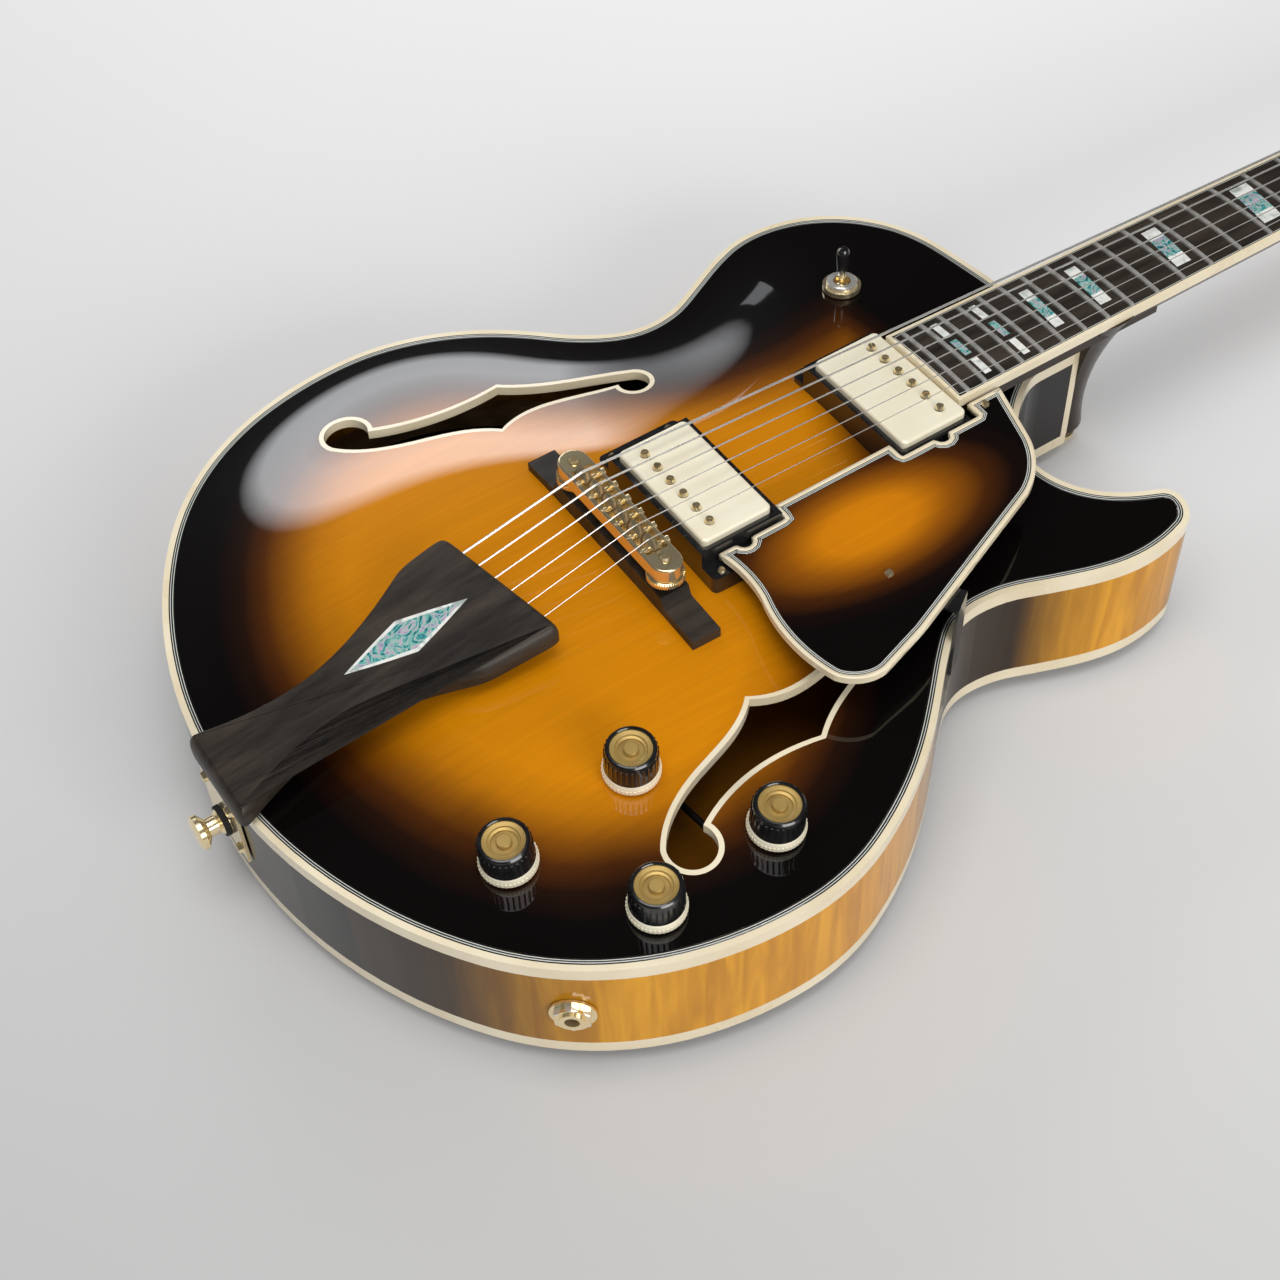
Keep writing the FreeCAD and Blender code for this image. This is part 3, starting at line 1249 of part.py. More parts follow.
def make_tail_bracket():
    body = new_body("tailpiece_bracket")
    under = "(tailpiece_end_height - tailpiece_thickness * sqrt(1 + %s * %s))" % (TAIL_SLOPE, TAIL_SLOPE)
    sketch = new_sketch(body, "side_view", "XZ_Plane")
    rise = "bracket_tongue * " + TAIL_SLOPE
    draw_profile(sketch, [("-tail_reach - bracket_thickness", "-bracket_drop"), ("-tail_reach", "-bracket_drop"),
                          ("-tail_reach", under + " - bracket_thickness"),
                          ("bracket_tongue - tail_reach", under + " - bracket_thickness + " + rise),
                          ("bracket_tongue - tail_reach", under + " + " + rise),
                          ("-tail_reach - bracket_thickness", under + " - bracket_thickness * " + TAIL_SLOPE)])
    pad(body, sketch, "bracket_width", symmetric=True)
    hole = new_sketch(body, "pin_hole", "YZ_Plane", "-tail_reach")
    draw_circle(hole, "0", "-pin_drop", "pin_shank_radius + running_gap")
    pocket(body, hole, "bracket_thickness * 4", symmetric=True)
    place(body, "tailpiece_bracket", Placement())


def make_strap_buttons():
    body = new_body("strap_button_pattern")
    revolve(body, [("0", "-pin_shank_length"), ("pin_shank_radius", "-pin_shank_length"), ("pin_shank_radius", "0"),
                   ("pin_head_radius * 0.85", "0"), ("pin_head_radius * 0.85", "pin_length * 0.14"),
                   ("pin_neck_radius", "pin_length * 0.3"), ("pin_neck_radius", "pin_length * 0.6"),
                   ("pin_head_radius", "pin_length * 0.78"), ("pin_head_radius", "pin_length * 0.92"),
                   ("pin_head_radius * 0.7", "pin_length"), ("0", "pin_length")])
    add_shape("strap_buttons", copies(body, [TAIL_BUTTON, HEEL_BUTTON]))


def make_bridge_base():
    half = size("base_half_length")
    scoop = size("base_scoop_half")
    ramp = scoop - (scoop - size("stud_half_spacing")) / 4
    edge_height = top_place(BRIDGE_X, half)[0]
    scoop_height = top_place(BRIDGE_X, scoop)[0]
    x = BRIDGE_X - size("base_width") / 2
    right = [Vector(x, ramp, BASE_TOP), Vector(x, scoop, scoop_height + size("base_foot_height")),
             Vector(x, half, edge_height + size("base_foot_height")), Vector(x, half, -size("plate_thickness"))]
    left = [Vector(point.x, -point.y, point.z) for point in reversed(right)]
    blank = Part.Face(Part.makePolygon(right + left + right[:1])).extrude(Vector(size("base_width"), 0, 0))
    holes = [Part.makeCylinder(size("stud_radius") + size("running_gap"), size("base_height"),
                               Vector(BRIDGE_X, side * size("stud_half_spacing"), BASE_TOP - size("base_height") / 2))
             for name, side in STUD_SIDES]
    add_shape("bridge_base", blank.common(above_top()).cut(holes))


def make_bridge_studs():
    body = new_body("bridge_stud_pattern")
    length = FRAME_BOTTOM + size("frame_height") - BASE_TOP + size("base_height") / 2
    bottom = BASE_TOP - size("base_height") / 2
    sketch = new_sketch(body, "section", "XY_Plane")
    draw_circle(sketch, "0", "0", "stud_radius")
    stud = body.newObject("PartDesign::Pad", "pad")
    stud.Profile = sketch
    stud.Length = length
    doc.recompute()
    add_shape("bridge_studs", copies(body, [Placement(Vector(BRIDGE_X, side * size("stud_half_spacing"), bottom), Rotation())
                                            for name, side in STUD_SIDES]))


def make_thumbwheels():
    for name, side in STUD_SIDES:
        body = new_body("thumbwheel_" + name)
        inner = "stud_radius + running_gap"
        revolve(body, [(inner, "0"), ("thumbwheel_radius * 0.86", "0"), ("thumbwheel_radius", "thumbwheel_thickness * 0.2"),
                       ("thumbwheel_radius", "thumbwheel_thickness * 0.6"),
                       ("thumbwheel_radius * 0.86", "thumbwheel_thickness * 0.75"),
                       ("thumbwheel_radius * 0.7", "thumbwheel_thickness * 0.75"),
                       ("thumbwheel_radius * 0.7", "thumbwheel_thickness"), (inner, "thumbwheel_thickness")])
        place(body, "thumbwheel_" + name, Placement(Vector(BRIDGE_X, side * size("stud_half_spacing"), WHEEL_BOTTOM), Rotation()))


def make_bridge_frame():
    body = new_body("bridge_frame")
    sketch = new_sketch(body, "outline", "XY_Plane")
    side = "frame_width / 2"
    straight = "(frame_length / 2 - frame_width / 2)"
    draw_profile(sketch, [(side, "-" + straight), (side, straight, "0", "frame_length / 2"),
                          ("-" + side, straight), ("-" + side, "-" + straight, "0", "-frame_length / 2")])
    blank = pad(body, sketch, "frame_height")
    fillet(body, blank, at_height(size("frame_height")), "frame_round")
    channel = new_sketch(body, "saddle_channel", "XY_Plane", "frame_floor")
    reach = "(saddle_spread / 2 + saddle_spread / 10 + seat_gap)"
    wall = "(frame_width / 2 - frame_wall)"
    draw_profile(channel, [("-" + wall, "-" + reach), (wall, "-" + reach), (wall, reach), ("-" + wall, reach)])
    pocket(body, channel, "frame_height", reversed_side=True)
    holes = new_sketch(body, "stud_holes", "XY_Plane")
    for name, sign in STUD_SIDES:
        draw_circle(holes, "0", "%d * stud_half_spacing" % sign, "stud_radius + running_gap * 2")
    pocket(body, holes, "frame_height * 4", symmetric=True)
    screws = new_sketch(body, "screw_holes", "YZ_Plane", "frame_width / 2")
    for index in range(STRING_COUNT):
        centre = "saddle_spread * (0.5 - %d / %d)" % (index, STRING_COUNT - 1)
        draw_circle(screws, centre, SCREW_HEIGHT, "saddle_screw_radius + running_gap")
    pocket(body, screws, "frame_wall * 2", symmetric=True)
    place(body, "bridge_frame", Placement(Vector(BRIDGE_X, 0, FRAME_BOTTOM), Rotation()))


SCREW_HEIGHT = "(frame_floor + (frame_height - frame_floor) / 2)"
SADDLE_WIDTH = "(saddle_spread / 5 - saddle_pitch_gap)"


def make_saddles():
    """Peaked saddles on the frame's floor, each notched for its string and drilled for its screw."""
    height = STRING_HEIGHT - size("thick_string_radius") - size("seat_gap") + size("saddle_notch") - FRAME_BOTTOM - size("frame_floor")
    for index in range(STRING_COUNT):
        label = "saddle_%d" % (index + 1)
        body = new_body(label)
        sketch = new_sketch(body, "side_view", "XZ_Plane")
        draw_profile(sketch, [("-saddle_length / 2", "0"), ("saddle_length / 2", "0"), ("saddle_length / 2", "frame_height - frame_floor"),
                              ("0", "%r" % height), ("-saddle_length / 2", "frame_height - frame_floor")])
        pad(body, sketch, SADDLE_WIDTH, symmetric=True)
        notch = new_sketch(body, "string_notch", "YZ_Plane")
        low = "%r - saddle_notch" % height
        draw_profile(notch, [("-thick_string_radius", low), ("thick_string_radius", low),
                             ("saddle_notch + thick_string_radius", "%r + overrun" % height),
                             ("-(saddle_notch + thick_string_radius)", "%r + overrun" % height)])
        pocket(body, notch, "saddle_length * 4", symmetric=True)
        bore = new_sketch(body, "screw_bore", "YZ_Plane")
        draw_circle(bore, "0", SCREW_HEIGHT + " - frame_floor", "saddle_screw_radius + running_gap")
        pocket(body, bore, "saddle_length * 4", symmetric=True)
        spot = Vector(-size("saddle_setback") * SETBACK_SHARES[index], string_across(size("saddle_spread"), index),
                      FRAME_BOTTOM + size("frame_floor"))
        place(body, label, Placement(spot, Rotation()))


def make_saddle_screws():
    body = new_body("saddle_screw_pattern")
    revolve(body, [("0", "frame_wall + running_gap - frame_width"), ("saddle_screw_radius", "frame_wall + running_gap - frame_width"),
                   ("saddle_screw_radius", "running_gap"), ("saddle_screw_head", "running_gap"),
                   ("saddle_screw_head", "saddle_screw_head * 0.8"), ("0", "saddle_screw_head * 0.8")])
    frames = []
    for index in range(STRING_COUNT):
        spot = Vector(BRIDGE_X + size("frame_width") / 2, string_across(size("saddle_spread"), index), FRAME_BOTTOM + value(SCREW_HEIGHT))
        frames.append(Placement(spot, Rotation(UP, Vector(1, 0, 0))))
    add_shape("saddle_screws", copies(body, frames))


# Pickups and pickguard


def make_pickup_rings():
    rings = []
    for centre, top, toward in PICKUPS:
        x_half = size("cover_width") / 2 + size("ring_wall")
        y_riser = size("cover_length") / 2 + size("ring_wall")
        y_end = size("cover_length") / 2 + size("ring_end")
        crest = top_place(centre + toward * x_half, 0)[0]
        low_top = min(crest + size("ring_end_rise"), size("guard_height") - size("seat_gap"))
        foot = box(Vector(centre - x_half, -y_end, 0), Vector(centre + x_half, y_end, low_top))
        riser = box(Vector(centre - x_half, -y_riser, 0), Vector(centre + x_half, y_riser, top - size("cover_above_ring")))
        shape = foot.makeFillet(size("ring_corner"), [edge for edge in foot.Edges if upright(edge)]).fuse(riser)
        x_room = size("cover_width") / 2 + size("seat_gap")
        y_room = size("cover_length") / 2 + size("seat_gap")
        opening = box(Vector(centre - x_room, -y_room, -size("rim_depth")), Vector(centre + x_room, y_room, size("rim_depth")))
        board_end = box(Vector(size("board_end_reach") - size("seat_gap"), -size("lower_half_width"), 0),
                        Vector(NECK_END, size("lower_half_width"), size("rim_depth")))
        rings.append(shape.common(above_top()).cut([opening, board_end]))
    add_shape("pickup_rings", Part.makeCompound(rings))


def make_pickup_covers():
    body = new_body("pickup_cover_pattern")
    sketch = new_sketch(body, "outline", "XY_Plane")
    draw_rectangle(sketch, "cover_width", "cover_length")
    can = pad(body, sketch, "cover_height", reversed_side=True)
    corners = fillet(body, can, upright, "cover_corner")
    rounded = fillet(body, corners, at_height(0), "cover_round")
    hollow = new_sketch(body, "hollow", "XY_Plane", "-cover_wall")
    draw_rectangle(hollow, "cover_width - cover_corner * 2", "cover_length - cover_corner * 2")
    pocket(body, hollow, "cover_height")
    holes = new_sketch(body, "pole_holes", "XY_Plane")
    for index in range(STRING_COUNT):
        draw_circle(holes, "pole_offset", "saddle_spread * (0.5 - %d / %d)" % (index, STRING_COUNT - 1), "pole_radius + running_gap")
    pocket(body, holes, "cover_wall * 4", symmetric=True)
    add_shape("pickup_covers", copies(body, pickup_frames()))


def pickup_frames():
    """Frame on each cover's top, x towards the side that has the pole screws."""
    return [Placement(Vector(centre, 0, top), Rotation(UP, 0 if toward > 0 else 180)) for centre, top, toward in PICKUPS]


def make_pickup_coils():
    body = new_body("pickup_coil_pattern")
    sketch = new_sketch(body, "block", "XY_Plane", "-cover_wall - running_gap")
    draw_rectangle(sketch, "cover_width - cover_corner * 2 - running_gap * 2", "cover_length - cover_corner * 2 - running_gap * 2")
    pad(body, sketch, "cover_height - cover_wall - running_gap", reversed_side=True)
    poles = new_sketch(body, "poles", "XY_Plane", "pole_rise")
    for index in range(STRING_COUNT):
        draw_circle(poles, "pole_offset", "saddle_spread * (0.5 - %d / %d)" % (index, STRING_COUNT - 1), "pole_radius")
    pad(body, poles, "pole_rise + cover_height / 2", reversed_side=True)
    add_shape("pickup_coils", copies(body, pickup_frames()))


def guard_along(share):
    return "guard_tail_reach + (guard_neck_reach - guard_tail_reach) * %r" % share


def guard_out(share):
    return "-guard_outer * %r" % share


def make_pickguard():
    body = new_body("pickguard")
    sketch = new_sketch(body, "outline", "XY_Plane")
    inner = "-guard_string_side"
    notch = "-(cover_length / 2 + ring_wall + guard_fit)"
    ear = "-(cover_length / 2 + ring_wall + guard_fit + guard_ear_radius)"
    reach = "(cover_width / 2 + ring_wall + guard_fit)"
    neck = "(board_end_reach - board_to_cover - cover_width / 2)"
    bridge = "bridge_pickup_reach"
    corners = [("guard_neck_reach", inner), (neck + " + " + reach, inner), (neck + " + " + reach, notch),
               (neck + " + guard_ear_radius", notch, neck, ear), (neck + " - guard_ear_radius", notch),
               (neck + " - " + reach, notch), (neck + " - " + reach, inner),
               (bridge + " + " + reach, inner), (bridge + " + " + reach, notch),
               (bridge + " + guard_ear_radius", notch, bridge, ear), (bridge + " - guard_ear_radius", notch)]
    for shares in GUARD_SHARES:
        first = (guard_along(shares[0]), guard_out(shares[1]))
        through = (guard_along(shares[2]), guard_out(shares[3])) if len(shares) == 4 else ()
        corners.append(first + through)
    draw_profile(sketch, corners)
    pad(body, sketch, "guard_thickness")
    place(body, "pickguard", Placement(Vector(0, 0, size("guard_height")), Rotation()))


def make_guard_bracket():
    body = new_body("pickguard_bracket")
    sketch = new_sketch(body, "side_view", "XZ_Plane")
    near = "seat_gap * 2"
    far = "(seat_gap * 2 + guard_bracket_thickness)"
    low = "-(binding_height + guard_bracket_drop)"
    draw_profile(sketch, [("-guard_bracket_inset", "guard_height - guard_bracket_thickness"),
                          (near, "guard_height - guard_bracket_thickness"), (near, low), (far, low),
                          (far, "guard_height"), ("-guard_bracket_inset", "guard_height")])
    pad(body, sketch, "guard_bracket_width", symmetric=True)
    place(body, "pickguard_bracket", GUARD_BRACKET_FRAME)


# Controls

POT_TOP = "(-plate_thickness - pot_clearance)"


def make_knobs():
    cavity = "knob_lift + knob_cavity_height"
    dish = "knob_height - knob_recess_depth"
    for label, frame in zip(KNOB_NAMES, KNOB_FRAMES):
        body = new_body(label)
        revolve(body, [("0", "-shaft_depth"), ("shaft_radius", "-shaft_depth"), ("shaft_radius", cavity),
                       ("knob_cavity_radius", cavity), ("knob_cavity_radius", "knob_lift"), ("knob_flange_radius", "knob_lift"),
                       ("knob_flange_radius", "knob_lift + knob_flange_height"), ("knob_grip_radius", "knob_lift + knob_flange_height"),
                       ("knob_grip_radius", "knob_height * 0.94"), ("knob_grip_radius * 0.96", "knob_height"),
                       ("knob_recess_radius", "knob_height"), ("knob_recess_radius", dish), ("knob_boss_radius", dish),
                       ("knob_boss_radius", dish + " + knob_boss_height"), ("0", dish + " + knob_boss_height")])
        place(body, label, frame)


def make_pots():
    body = new_body("pot_pattern")
    bore = "shaft_radius + running_gap"
    nut_low = "seat_gap * 2"
    nut_high = "seat_gap * 2 + pot_nut_height"
    revolve(body, [(bore, "pot_bushing_height"), ("pot_bushing_radius", "pot_bushing_height"), ("pot_bushing_radius", nut_high),
                   ("pot_nut_radius", nut_high), ("pot_nut_radius", nut_low), ("pot_bushing_radius", nut_low),
                   ("pot_bushing_radius", POT_TOP), ("pot_radius", POT_TOP), ("pot_radius", POT_TOP + " - pot_height"),
                   ("0", POT_TOP + " - pot_height"), ("0", "-shaft_depth - seat_gap"), (bore, "-shaft_depth - seat_gap")])
    add_shape("pots", copies(body, KNOB_FRAMES))


def make_switch():
    body = new_body("switch_body")
    low = POT_TOP + " - switch_can_height"
    floor = "-lever_depth - switch_bore_radius"
    nut_low = "seat_gap * 2"
    nut_high = "seat_gap * 2 + switch_nut_height"
    revolve(body, [("switch_bore_radius", "switch_bushing_height"), ("switch_bushing_radius", "switch_bushing_height"),
                   ("switch_bushing_radius", nut_high), ("switch_nut_radius", nut_high), ("switch_nut_radius", nut_low),
                   ("switch_bushing_radius", nut_low), ("switch_bushing_radius", POT_TOP), ("switch_can_radius", POT_TOP),
                   ("switch_can_radius", low), ("0", low), ("0", floor), ("switch_bore_radius", floor)])
    hole = new_sketch(body, "pin_hole", "XZ_Plane")
    draw_circle(hole, "0", "0", "lever_pin_radius + running_gap")
    pocket(body, hole, "2 * switch_bushing_radius + overrun", symmetric=True)
    place(body, "switch_body", SWITCH_FRAME)
    lever = new_body("switch_lever")
    ball = "(switch_bore_radius - running_gap)"
    half = "sqrt(%s * %s - lever_radius * lever_radius)" % (ball, ball)
    tip = "(lever_length - lever_tip_length)"
    revolve(lever, [("0", "-lever_depth"), ("lever_radius", "-lever_depth"), ("lever_radius", "-" + half, ball, "0"),
                    ("lever_radius", half), ("lever_radius", tip), ("lever_tip_radius * 0.75", tip),
                    ("lever_tip_radius", tip + " + lever_tip_length * 0.6"), ("lever_tip_radius * 0.8", "lever_length * 0.97"),
                    ("lever_tip_radius * 0.3", "lever_length"), ("0", "lever_length")])
    pin_round = new_sketch(lever, "tip_pin", "XZ_Plane")
    draw_circle(pin_round, "0", "0", "lever_pin_radius")
    pad(lever, pin_round, "2 * switch_bushing_radius", symmetric=True)
    place(lever, "switch_lever", SWITCH_FRAME)


def make_jack():
    body = new_body("output_jack")
    washer = "seat_gap + jack_washer_thickness"
    nut = "seat_gap + jack_washer_thickness + jack_nut_height"
    revolve(body, [("jack_bore_radius", "-jack_barrel_length"), ("jack_barrel_radius", "-jack_barrel_length"),
                   ("jack_barrel_radius", "seat_gap"), ("jack_washer_radius", "seat_gap"), ("jack_washer_radius", washer),
                   ("jack_nut_radius", washer), ("jack_nut_radius", nut), ("jack_barrel_radius", nut),
                   ("jack_barrel_radius", nut + " + jack_nut_height / 3"), ("jack_bore_radius", nut + " + jack_nut_height / 3")])
    place(body, "output_jack", JACK_FRAME)


def cable(points):
    """A round cable along straight runs with an arc at each bend, as large as the runs allow."""
    edges = []
    start = points[0]
    for before, corner, after in zip(points, points[1:], points[2:]):
        inward = (before - corner).normalize()
        onward = (after - corner).normalize()
        cut = 0.45 * min(before.distanceToPoint(corner), corner.distanceToPoint(after))
        first, last = corner + inward * cut, corner + onward * cut
        bisector = (inward + onward).normalize()
        half_turn = (math.pi - inward.getAngle(onward)) / 2
        radius = cut / math.tan(half_turn)
        middle = corner + bisector * (radius / math.cos(half_turn) - radius)
        edges += [line(start, first), Part.Arc(first, middle, last).toShape()]
        start = last
    edges.append(line(start, points[-1]))
    path = Part.Wire(edges)
    section = Part.Wire(Part.makeCircle(size("cable_radius"), points[0], points[1] - points[0]))
    return path.makePipeShell([section], True, False)


def make_wiring():
    """Screened cables: pickups and switch to the pots, and on to the jack."""
    low = value(POT_TOP + " - pot_height")
    pots = [frame.multVec(Vector(0, 0, low)) for frame in KNOB_FRAMES]
    switch = SWITCH_FRAME.multVec(Vector(0, 0, value(POT_TOP + " - switch_can_height")))
    pickups = [Vector(centre, 0, top - size("cover_height")) for centre, top, toward in PICKUPS]
    jack = JACK_FRAME.multVec(Vector(0, 0, -size("jack_barrel_length")))
    inward = JACK_FRAME.multVec(Vector(0, 0, -size("jack_barrel_length") - size("pot_radius"))) - jack
    floor = BACK_EDGE / 2
    loose = size("pot_radius") + size("pot_height")

    def drop(point, depth):
        return point + Vector(0, 0, -depth)

    routes = [
        [jack, jack + inward, Vector((jack.x + pots[3].x) / 2, (jack.y + pots[3].y) / 2 + loose, floor), drop(pots[3], loose), pots[3]],
        [pots[0], drop(pots[0], loose), drop(pots[2], loose), pots[2]],
        [switch, Vector(switch.x, switch.y, floor), Vector(pots[0].x, switch.y, floor), drop(pots[1], loose + size("pot_height")), pots[1]],
    ]
    add_shape("wiring", Part.makeCompound([cable(route) for route in routes]))


BLOCKS = end_block_shapes()
make_top()
make_back()
make_ribs()
make_blocks(BLOCKS)
make_linings(BLOCKS)
make_body_binding()
make_soundhole_binding()
make_tone_bars()
make_neck()
make_fretboard()
make_frets()
make_headstock_trim()
make_nut()
make_tuner_housings()
make_tuner_posts()
make_tuner_buttons()
make_strings()
make_tailpiece()
make_tail_bracket()
make_strap_buttons()
make_bridge_base()
make_bridge_studs()
make_thumbwheels()
make_bridge_frame()
make_saddles()
make_saddle_screws()
make_pickup_rings()
make_pickup_covers()
make_pickup_coils()
make_pickguard()
make_guard_bracket()
make_knobs()
make_pots()
make_switch()
make_jack()
make_wiring()


def finish():
    """Check every object, then write each piece to its own file."""
    doc.recompute()
    for item in doc.Objects:
        if "Invalid" in item.State or "Error" in item.State:
            raise RuntimeError("%s did not build" % item.Name)
    for item in parts:
        if item.Shape.isNull() or not item.Shape.isValid():
            raise RuntimeError("%s is not a valid shape" % item.Label)
    os.makedirs("parts", exist_ok=True)
    for item in parts:
        item.Shape.exportStep("parts/%s.step" % item.Label)
        print(item.Label, len(item.Shape.Solids), round(item.Shape.Volume))


finish()
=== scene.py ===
# %% [markdown]
# # An arched-top guitar, dressed
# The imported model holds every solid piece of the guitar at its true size. This lesson leaves those pieces
# where they are and gives them what a model shop adds last: lacquer, plating, grain, thin edge lines and
# the small repeated shapes that are quicker to grow in Blender than to draw as solids.

# %% Load the frame
import json
import math
from functools import partial

import bmesh
import bpy
import numpy as np
from mathutils import Matrix, Vector
from mathutils.bvhtree import BVHTree


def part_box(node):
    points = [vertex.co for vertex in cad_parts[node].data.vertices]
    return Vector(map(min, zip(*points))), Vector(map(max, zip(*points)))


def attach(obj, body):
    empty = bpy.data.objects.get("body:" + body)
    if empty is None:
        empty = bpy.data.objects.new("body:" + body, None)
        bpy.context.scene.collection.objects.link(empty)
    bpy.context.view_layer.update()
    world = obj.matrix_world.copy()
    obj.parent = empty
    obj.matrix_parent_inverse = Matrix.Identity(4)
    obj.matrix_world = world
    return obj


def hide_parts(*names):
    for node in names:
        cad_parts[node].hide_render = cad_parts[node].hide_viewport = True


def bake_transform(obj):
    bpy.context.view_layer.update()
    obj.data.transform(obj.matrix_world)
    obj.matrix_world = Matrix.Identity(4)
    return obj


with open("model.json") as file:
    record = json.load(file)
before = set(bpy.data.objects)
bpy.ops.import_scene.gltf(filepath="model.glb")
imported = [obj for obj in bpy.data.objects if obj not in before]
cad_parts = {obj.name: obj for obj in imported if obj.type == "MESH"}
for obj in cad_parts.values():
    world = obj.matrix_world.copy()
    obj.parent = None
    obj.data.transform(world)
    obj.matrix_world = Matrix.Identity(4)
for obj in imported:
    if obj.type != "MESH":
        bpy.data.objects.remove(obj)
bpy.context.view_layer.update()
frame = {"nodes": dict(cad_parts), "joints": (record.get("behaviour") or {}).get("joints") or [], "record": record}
NODES = frame["nodes"]
JOINTS = {joint["name"]: joint for joint in frame["joints"]}
SADDLE_LINE = -0.3039  # where the strings' scale starts, along x
RIM_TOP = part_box("body_binding")[1].z
UPWARD = (0, 0, 1)
print("nodes:", len(NODES), "joints:", len(JOINTS), "rim at", round(RIM_TOP, 4))

# %% [markdown]
# ## Camera
# The guitar is seen from the tail, on the treble side, from about 50 degrees above. A camera can be
# placed by eye, but here its place was worked out from the fret spacing, so it is given as numbers: where
# it stands, what it looks at, and a small roll.

# %% Camera
CAMERA_PLACE = Vector((-0.6296, -0.5402, 0.7751))
CAMERA_TARGET = Vector((-0.3248, -0.0466, 0.0750))
CAMERA_ROLL = math.radians(-2.99)
CAMERA_LENS, CAMERA_SENSOR = 57.05, 36
CAMERA_SHIFT = (-0.0018, 0.0053)


def placed(name, data):
    """An object in the scene that holds some data."""
    item = bpy.data.objects.new(name, data)
    bpy.context.collection.objects.link(item)
    return item


def aimed(place, target):
    """The turn that points a camera or a lamp from a place at a target."""
    return (Vector(target) - Vector(place)).to_track_quat("-Z", "Y")


camera_data = bpy.data.cameras.new("camera")
camera_data.lens, camera_data.sensor_width = CAMERA_LENS, CAMERA_SENSOR
camera_data.shift_x, camera_data.shift_y = CAMERA_SHIFT
camera_data.clip_start, camera_data.clip_end = 0.01, 100
camera = placed("camera", camera_data)
camera.location = CAMERA_PLACE
look = aimed(CAMERA_PLACE, CAMERA_TARGET).to_matrix()
camera.rotation_euler = (look @ Matrix.Rotation(CAMERA_ROLL, 3, "Z")).to_euler()
scene = bpy.context.scene
scene.camera = camera
scene.view_settings.view_transform = "Standard"
print("camera to target:", round((CAMERA_TARGET - CAMERA_PLACE).length, 3), "m")

# %% [markdown]
# ## Lamps
# A glossy lacquer shows what stands around it, so the lamps are placed by what they leave in the top: a
# wide window gives the long highlight and a small far one the spot near the switch. Two soft boxes fill
# the rest.

# %% Lamps
WINDOW_WHITE, WARM_WHITE = (0.95, 0.97, 1.0), (1.0, 0.98, 0.95)


def softbox(name, place, target, size, power, colour=(1, 1, 1)):
    """A rectangular studio lamp that faces a point."""
    data = bpy.data.lights.new(name, "AREA")
    data.shape = "RECTANGLE"
    data.size, data.size_y = size
    data.energy = power
    data.color = colour
    lamp = placed(name, data)
    lamp.location = place
    lamp.rotation_euler = aimed(place, target).to_euler()
    return lamp


window = softbox("window_box", (0.05, 1.2, 0.80), (0.05, 0.0, 0.80), (0.76, 0.36), 5.6, WINDOW_WHITE)
softbox("far_window", (0.485, 1.2, 0.935), (0.485, 0.0, 0.935), (0.06, 0.04), 0.014, WINDOW_WHITE)
softbox("overhead_box", (-0.6, -0.3, 2.2), (-0.30, 0.0, 0.05), (1.4, 1.4), 22)
softbox("front_box", (-0.3, -2.1, 1.1), (-0.2, -0.1, 0.05), (1.4, 0.8), 26, WARM_WHITE)
print("lamps:", len(bpy.data.lights))

# %% [markdown]
# ## A small kit for materials
# Every finish here is a node tree. A few helpers do the repeated work, so that each finish stays short to
# read. The first ones add a node and fill its inputs, and do a sum or a mix on sockets. They work on
# anything that has a node tree, and later also on the trees that grow shapes.

# %% Nodes
def fill(node, **settings):
    """A setting named after an input fills it or is linked to it; any other is the node's own."""
    for name, setting in settings.items():
        words = name.replace("_", " ").title()
        if words not in node.inputs:
            setattr(node, name, setting)
        elif isinstance(setting, bpy.types.NodeSocket):
            node.id_data.links.new(setting, node.inputs[words])
        else:
            node.inputs[words].default_value = setting


def add_node(owner, kind, **settings):
    """A node in a tree, or in the tree of a material, a lamp or the world."""
    node = getattr(owner, "node_tree", owner).nodes.new(kind)
    fill(node, **settings)
    return node


def grey(level):
    return (level, level, level)


def ramped(source, stops):
    """The colour of a ramp over a source; its stops are (place, colour)."""
    node = add_node(source.id_data, "ShaderNodeValToRGB", fac=source)
    elements = node.color_ramp.elements
    while len(elements) < len(stops):
        elements.new(0.5)
    for element, (place, colour) in zip(elements, stops):
        element.position = place
        element.color = (*colour, 1)
    return node.outputs["Color"]


def spanned(source, **ends):
    """A number brought from one span to another; the ends are named as on a Map Range node."""
    return add_node(source.id_data, "ShaderNodeMapRange", value=source, **ends).outputs["Result"]


def reckoned(operation, *terms):
    """A sum on a socket and further sockets or plain numbers."""
    node = add_node(terms[0].id_data, "ShaderNodeMath", operation=operation)
    for socket, term in zip(node.inputs, terms):
        if isinstance(term, float):
            socket.default_value = term
        else:
            node.id_data.links.new(term, socket)
    return node.outputs["Value"]


def mixed(amount, first, second, mode="MIX"):
    """Two colours mixed; the first is a socket, amount and second may be plain values."""
    node = add_node(first.id_data, "ShaderNodeMix", data_type="RGBA", blend_type=mode)
    for slot, source in (("Factor", amount), ("A", first), ("B", second)):
        socket = [item for item in node.inputs if item.name == slot and item.enabled][0]
        if isinstance(source, bpy.types.NodeSocket):
            node.id_data.links.new(source, socket)
        else:
            socket.default_value = (*source, 1) if slot == "B" else source
    return [item for item in node.outputs if item.enabled][0]

# %% [markdown]
# The second group starts a finish and gives it texture. All textures use the piece's own coordinates in
# metres, so a grain has the same size on every piece.

